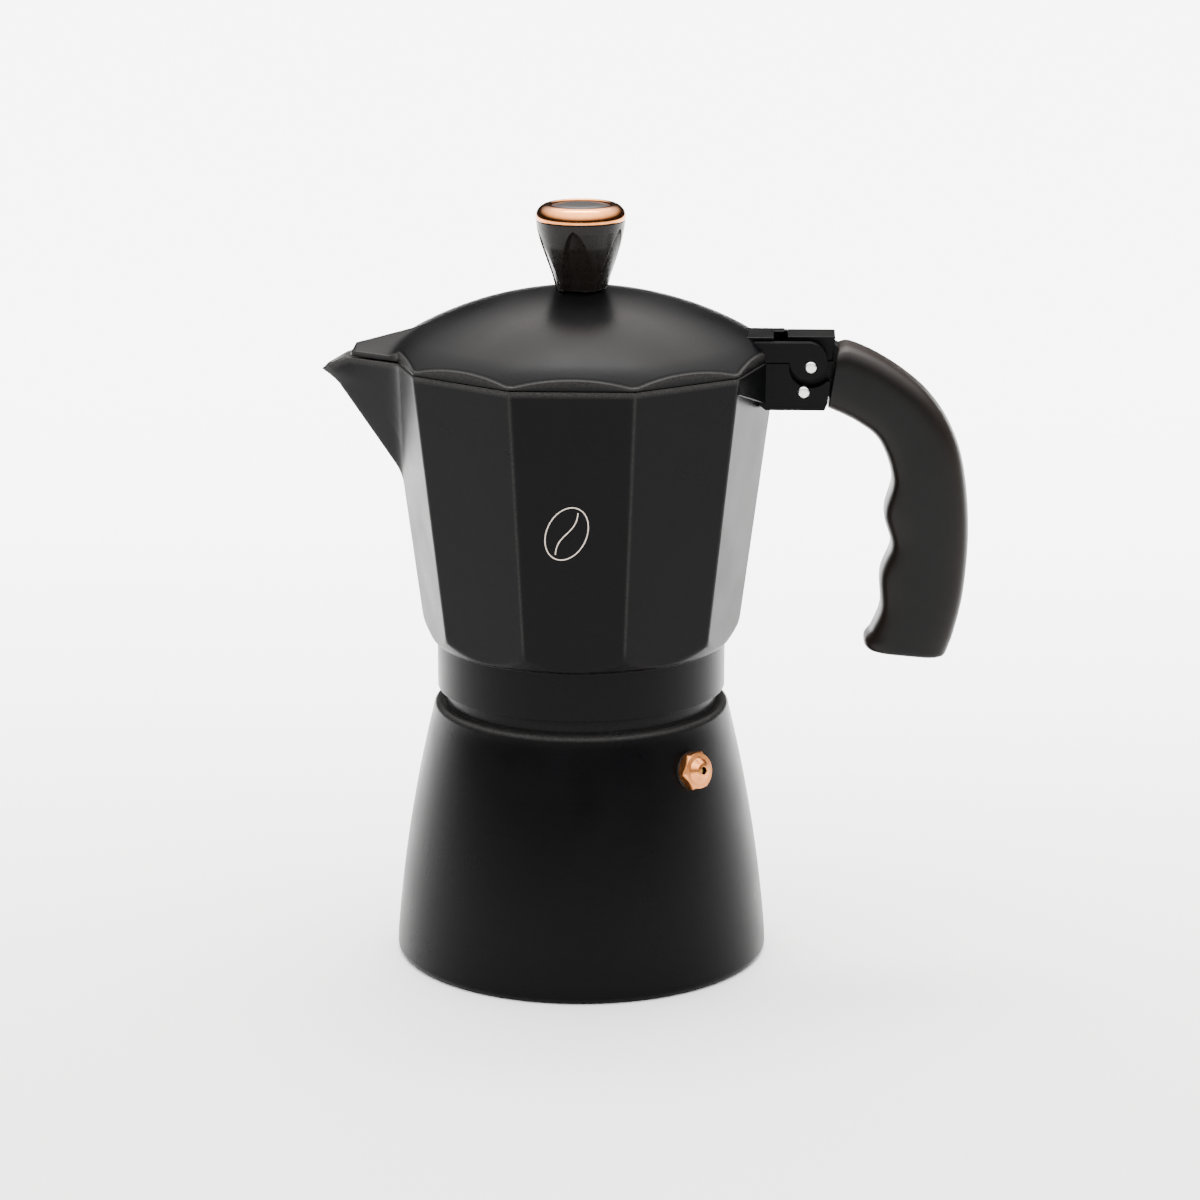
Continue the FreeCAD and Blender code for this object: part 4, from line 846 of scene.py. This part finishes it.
# Painted sheen: the rounded back and finger side get a lighter warm brown, standing in for the light they
# catch.
grip_painted_sheen = np.broadcast_to(np.clip(np.abs(along_back) ** 3, 0, 1), grip_points.shape[:2])
handle = surface("handle_grip", np.swapaxes(grip_points, 0, 1), [phenolic], wear_and_sheen=grip_painted_sheen.T)
tongue_outline = [(54.5, 153.1), (70.0, 153.1), (70.0, 164.9), (66.5, 167.3), (57.5, 167.3),
                  (57.5, 160.2), (54.5, 160.2)]
tongue = side_prism("handle_tongue", tongue_outline, -3.5, 3.5, phenolic, 0.4)
for part in (handle, tongue):
    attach(part, "collector")
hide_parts("handle")

# ---------------------------------------------------------------- knob
# Gloss black phenolic knob with five twisted, leaf-shaped hollows, a rose-gold plated ring pressed
# on its crown and a dark cap inside the ring. A screw from under the lid holds it.

LEAVES, LEAF_TIP, LEAF_DEPTH = 5, 197.4, 2.1
KNOB_LOW, KNOB_HIGH = 180.7, 199.3


def gloss_phenolic():
    """Polished phenolic: near black, mirror-like, with faint polishing waves; its warm dark brown colour
    paints in part of the dome's light reflected in it.
    """
    material, tree = new_material("polished_phenolic_resin")
    waves = pattern(tree, 3.0)
    rough = add_node(tree, "ShaderNodeMapRange", i0=waves, i1=0.3, i2=0.7, i3=0.24, i4=0.32)
    bump = add_node(tree, "ShaderNodeBump", Strength=0.03, Distance=0.0001, Height=waves)
    # Base colour lifted from black to a warm dark brown: a painted reflection of the lit dome.
    shader = add_node(tree, "ShaderNodeBsdfPrincipled", Base_Color=srgb("#151210"),
                      Roughness=rough.outputs[0], IOR=1.24, Normal=bump.outputs[0])
    finish_material(tree, shader)
    return material


def rose_gold(name, roughness):
    """Copper-tinted plating over brass: warm pink-gold metal with fine polishing haze."""
    material, tree = new_material(name)
    haze = pattern(tree, 1.6, 3.0)
    colour = add_node(tree, "ShaderNodeMix", {"data_type": "RGBA"}, Factor=haze,
                      i6=srgb("#cf7c42"), i7=srgb("#e69a5e"))
    rough = add_node(tree, "ShaderNodeMapRange", i0=haze, i1=0.3, i2=0.7,
                     i3=roughness - 0.03, i4=roughness + 0.04)
    shader = add_node(tree, "ShaderNodeBsdfPrincipled", Base_Color=colour.outputs[2], Metallic=1.0,
                      Roughness=rough.outputs[0])
    finish_material(tree, shader)
    return material


gloss_black = gloss_phenolic()
polished_plate = rose_gold("polished_rose_gold_plate", 0.10)
turned_plate = rose_gold("turned_rose_gold_plate", 0.30)


def knob_radius(angle, height):
    """A flaring stem less a scoop in each leaf: the scoop's left and right edges part from one
    point near the crown, twist as they go down and meet the next scoop's at the foot. A scoop
    is steep at its left edge and runs out gently to its right."""
    rise = (height - KNOB_LOW) / (KNOB_HIGH - KNOB_LOW)
    stem = np.interp(height, [181.3, 184.1, 188.3, 192.6, 196.8, 199.3], [7.3, 7.9, 9.2, 10.5, 11.45, 11.75])
    drop = np.clip((LEAF_TIP - height) / (LEAF_TIP - KNOB_LOW), 0, 1)
    step = 2 * math.pi / LEAVES
    left_edge = math.radians(-97) - math.radians(30) * drop ** 0.6
    width = step * 0.97 * drop ** 0.62 + 1e-4
    place = ((angle - left_edge) % step) / width
    scoop = np.clip(place / 0.16, 0, 1) ** 0.8 * np.clip(1 - place, 0, 1) ** 0.75
    return stem - LEAF_DEPTH * drop ** 0.35 * scoop * (0.8 + 0.2 * rise)


KNOB_STEPS = 560
knob_angles = np.linspace(0, 2 * math.pi, KNOB_STEPS, endpoint=False)
knob_rows = np.linspace(KNOB_LOW + 0.3, KNOB_HIGH - 0.3, 120)
flared = knob_radius(knob_angles[:, None], knob_rows[None])
foot_ring = knob_radius(knob_angles, KNOB_LOW + 0 * knob_angles) - 0.3
knob_r = np.concatenate([0 * foot_ring[:, None], foot_ring[:, None], flared,
                         np.full((KNOB_STEPS, 1), 11.55), np.full((KNOB_STEPS, 1), 11.0),
                         np.zeros((KNOB_STEPS, 1))], 1)
knob_z = np.concatenate([[KNOB_LOW, KNOB_LOW], knob_rows, [KNOB_HIGH, KNOB_HIGH + 0.1, KNOB_HIGH + 0.1]])
knob_points = np.stack([knob_r * np.cos(knob_angles)[:, None], knob_r * np.sin(knob_angles)[:, None],
                        knob_z + 0 * knob_r], -1)
knob = surface("knob_moulding", knob_points, [gloss_black])
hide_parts("knob")

RING_INNER, RING_OUTER, RING_LOW, RING_WIDEST, RING_HIGH = 7.85, 11.85, 199.1, 199.75, 203.2
crest = np.radians(np.linspace(-8, 90, 28))
ring_band = np.stack([RING_INNER + 0.6 + (RING_OUTER - RING_INNER - 0.6) * np.cos(crest),
                      RING_WIDEST + (RING_HIGH - RING_WIDEST) * np.sin(crest)], 1)
ring_outline = np.concatenate([[(RING_INNER, 200.5), (11.2, RING_LOW), (11.5, RING_LOW + 0.05)], ring_band,
                               [(RING_INNER + 0.2, 203.15), (RING_INNER, 202.9)]])
ring = surface("knob_crown_ring", spun(ring_outline, 160), [polished_plate], along=True)
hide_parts("knob_ring")


def smoked_cap():
    """A thin lacquered disc: dark warm grey, softly reflective."""
    material, tree = new_material("smoke_lacquered_cap")
    dust = pattern(tree, 0.6, 2.0)
    rough = add_node(tree, "ShaderNodeMapRange", i0=dust, i3=0.28, i4=0.31)
    shader = add_node(tree, "ShaderNodeBsdfPrincipled", Base_Color=srgb("#3a3636"), Metallic=0.4,
                      Roughness=rough.outputs[0])
    finish_material(tree, shader)
    return material


cap_outline = filleted([(0, 200.5, 0), (7.7, 200.5, 0), (7.7, 202.65, 0.2), (5.0, 203.1, 3.0),
                        (0, 203.35, 0)], 6)
cap = surface("knob_cap_disc", spun(cap_outline, 128), [smoked_cap()])
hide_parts("knob_disc")
for part in (knob, ring, cap):
    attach(part, "lid")

# ---------------------------------------------------------------- safety valve
# A turned hexagon of plated brass screwed into the boiler wall over a rubber washer. Its rounded
# nose has one small vent.

VALVE_AZIMUTH, VALVE_TILT = math.radians(-43.5), math.radians(12.5)
VALVE_RADIUS, VALVE_HEIGHT, VALVE_FLATS = 41.4, 58.0, 9.35


def on_valve_axis(points):
    """Carry points made about Z to the valve: its Z points out of the wall, tilted upwards."""
    outward = np.array([math.cos(VALVE_TILT) * math.cos(VALVE_AZIMUTH),
                        math.cos(VALVE_TILT) * math.sin(VALVE_AZIMUTH), math.sin(VALVE_TILT)])
    sideways = np.array([-math.sin(VALVE_AZIMUTH), math.cos(VALVE_AZIMUTH), 0])
    upward = np.cross(outward, sideways)
    seat = np.array([VALVE_RADIUS * math.cos(VALVE_AZIMUTH), VALVE_RADIUS * math.sin(VALVE_AZIMUTH),
                     VALVE_HEIGHT])
    return seat + points[..., :1] * sideways + points[..., 1:2] * upward + points[..., 2:] * outward


def hexagon_limit(angle, across_flats):
    """Distance from the axis to a six-sided outline with slightly rounded corners."""
    step = math.pi / 3
    aside = np.abs((angle % step) - step / 2)
    half = across_flats / 2
    return soft_min(half / np.cos(aside), half / np.cos(step - aside), 0.1)


valve_outline = filleted([(0.95, -7.9, 0), (4.0, -7.9, 0.3), (4.0, 0.6, 0.2), (4.9, 0.6, 0.2),
                          (5.5, 1.1, 0.3), (5.5, 2.4, 0.3), (4.6, 3.3, 0.2), (3.3, 3.35, 0.2),
                          (2.7, 4.1, 0.3), (2.0, 5.0, 0.4), (1.15, 5.1, 0.1), (1.0, 5.0, 0.1),
                          (1.0, 0.2, 0)], 5)
valve_angles = np.linspace(0, 2 * math.pi, 240, endpoint=False)[:, None]
valve_radius = valve_outline[:, 0] + 0 * valve_angles
in_hexagon = (valve_outline[:, 1] > 0.5) & (valve_outline[:, 1] < 3.6)
cut_flats = soft_min(valve_radius, hexagon_limit(valve_angles, VALVE_FLATS), 0.1)
valve_radius = np.where(in_hexagon, cut_flats, valve_radius)
valve_points = np.stack([valve_radius * np.cos(valve_angles), valve_radius * np.sin(valve_angles),
                         valve_outline[:, 1] + 0 * valve_angles], -1)
# The vent's bore gets the black coating instead of the plating: painted shade, so that the small hole reads
# dark.
dark_painted_bore_first = len(valve_outline) - 3
valve_rows = np.where(np.arange(len(valve_outline)) < dark_painted_bore_first, 0, 1)
valve = surface("valve_hexagon", on_valve_axis(valve_points), [turned_plate, coated], valve_rows, along=True)
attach(valve, "boiler")
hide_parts("valve_body")

# ---------------------------------------------------------------- inner metal and seals
# What the coffee is made in: the pressed funnel and its stem, the punched screens, the riser
# column pressed into the collector, a white silicone gasket, and the small brass and steel parts.


def silicone_rubber():
    """Cast food-grade silicone: soft white with a little light under its skin."""
    material, tree = new_material("white_silicone_rubber")
    dust = pattern(tree, 1.2, 3.0)
    rough = add_node(tree, "ShaderNodeMapRange", i0=dust, i3=0.48, i4=0.6)
    shader = add_node(tree, "ShaderNodeBsdfPrincipled", Base_Color=srgb("#e4e2dc"),
                      Roughness=rough.outputs[0], IOR=1.41, Subsurface_Weight=0.15)
    finish_material(tree, shader)
    return material


def turned_brass():
    """Turned brass: yellow metal with fine tool rings."""
    material, tree = new_material("turned_brass")
    rings = pattern(tree, 0.4, 2.0)
    rough = add_node(tree, "ShaderNodeMapRange", i0=rings, i3=0.25, i4=0.38)
    shader = add_node(tree, "ShaderNodeBsdfPrincipled", Base_Color=srgb("#c9a55c"), Metallic=1.0,
                      Roughness=rough.outputs[0])
    finish_material(tree, shader)
    return material


def black_rubber():
    """Moulded nitrile rubber: matt near-black with a dusty bloom. On the valve washer its black also paints
    the shadow at the valve's foot.
    """
    material, tree = new_material("black_rubber_and_painted_shade")
    bloom = pattern(tree, 1.5, 3.0)
    colour = add_node(tree, "ShaderNodeMix", {"data_type": "RGBA"}, Factor=bloom,
                      i6=srgb("#101010"), i7=srgb("#1c1b1a"))
    rough = add_node(tree, "ShaderNodeMapRange", i0=bloom, i3=0.6, i4=0.75)
    shader = add_node(tree, "ShaderNodeBsdfPrincipled", Base_Color=colour.outputs[2],
                      Roughness=rough.outputs[0], IOR=1.35)
    finish_material(tree, shader)
    return material


silicone = silicone_rubber()
rubber = black_rubber()
brass = turned_brass()
for node, material in (
    ("funnel_basket", pressed_metal), ("funnel_stem", pressed_metal), ("funnel_screen", pressed_metal),
    ("filter_plate", pressed_metal), ("riser_column", cast_metal), ("gasket", silicone),
    # The washer's near-black colour also stands in as painted shadow at the valve's foot.
    ("valve_washer", rubber), ("valve_seat", brass), ("valve_poppet", brass),
    ("valve_spring", pin_steel), ("knob_insert", brass), ("knob_washer", pin_steel),
    ("knob_screw", pin_steel),
):
    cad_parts[node].material_slots[0].material = material
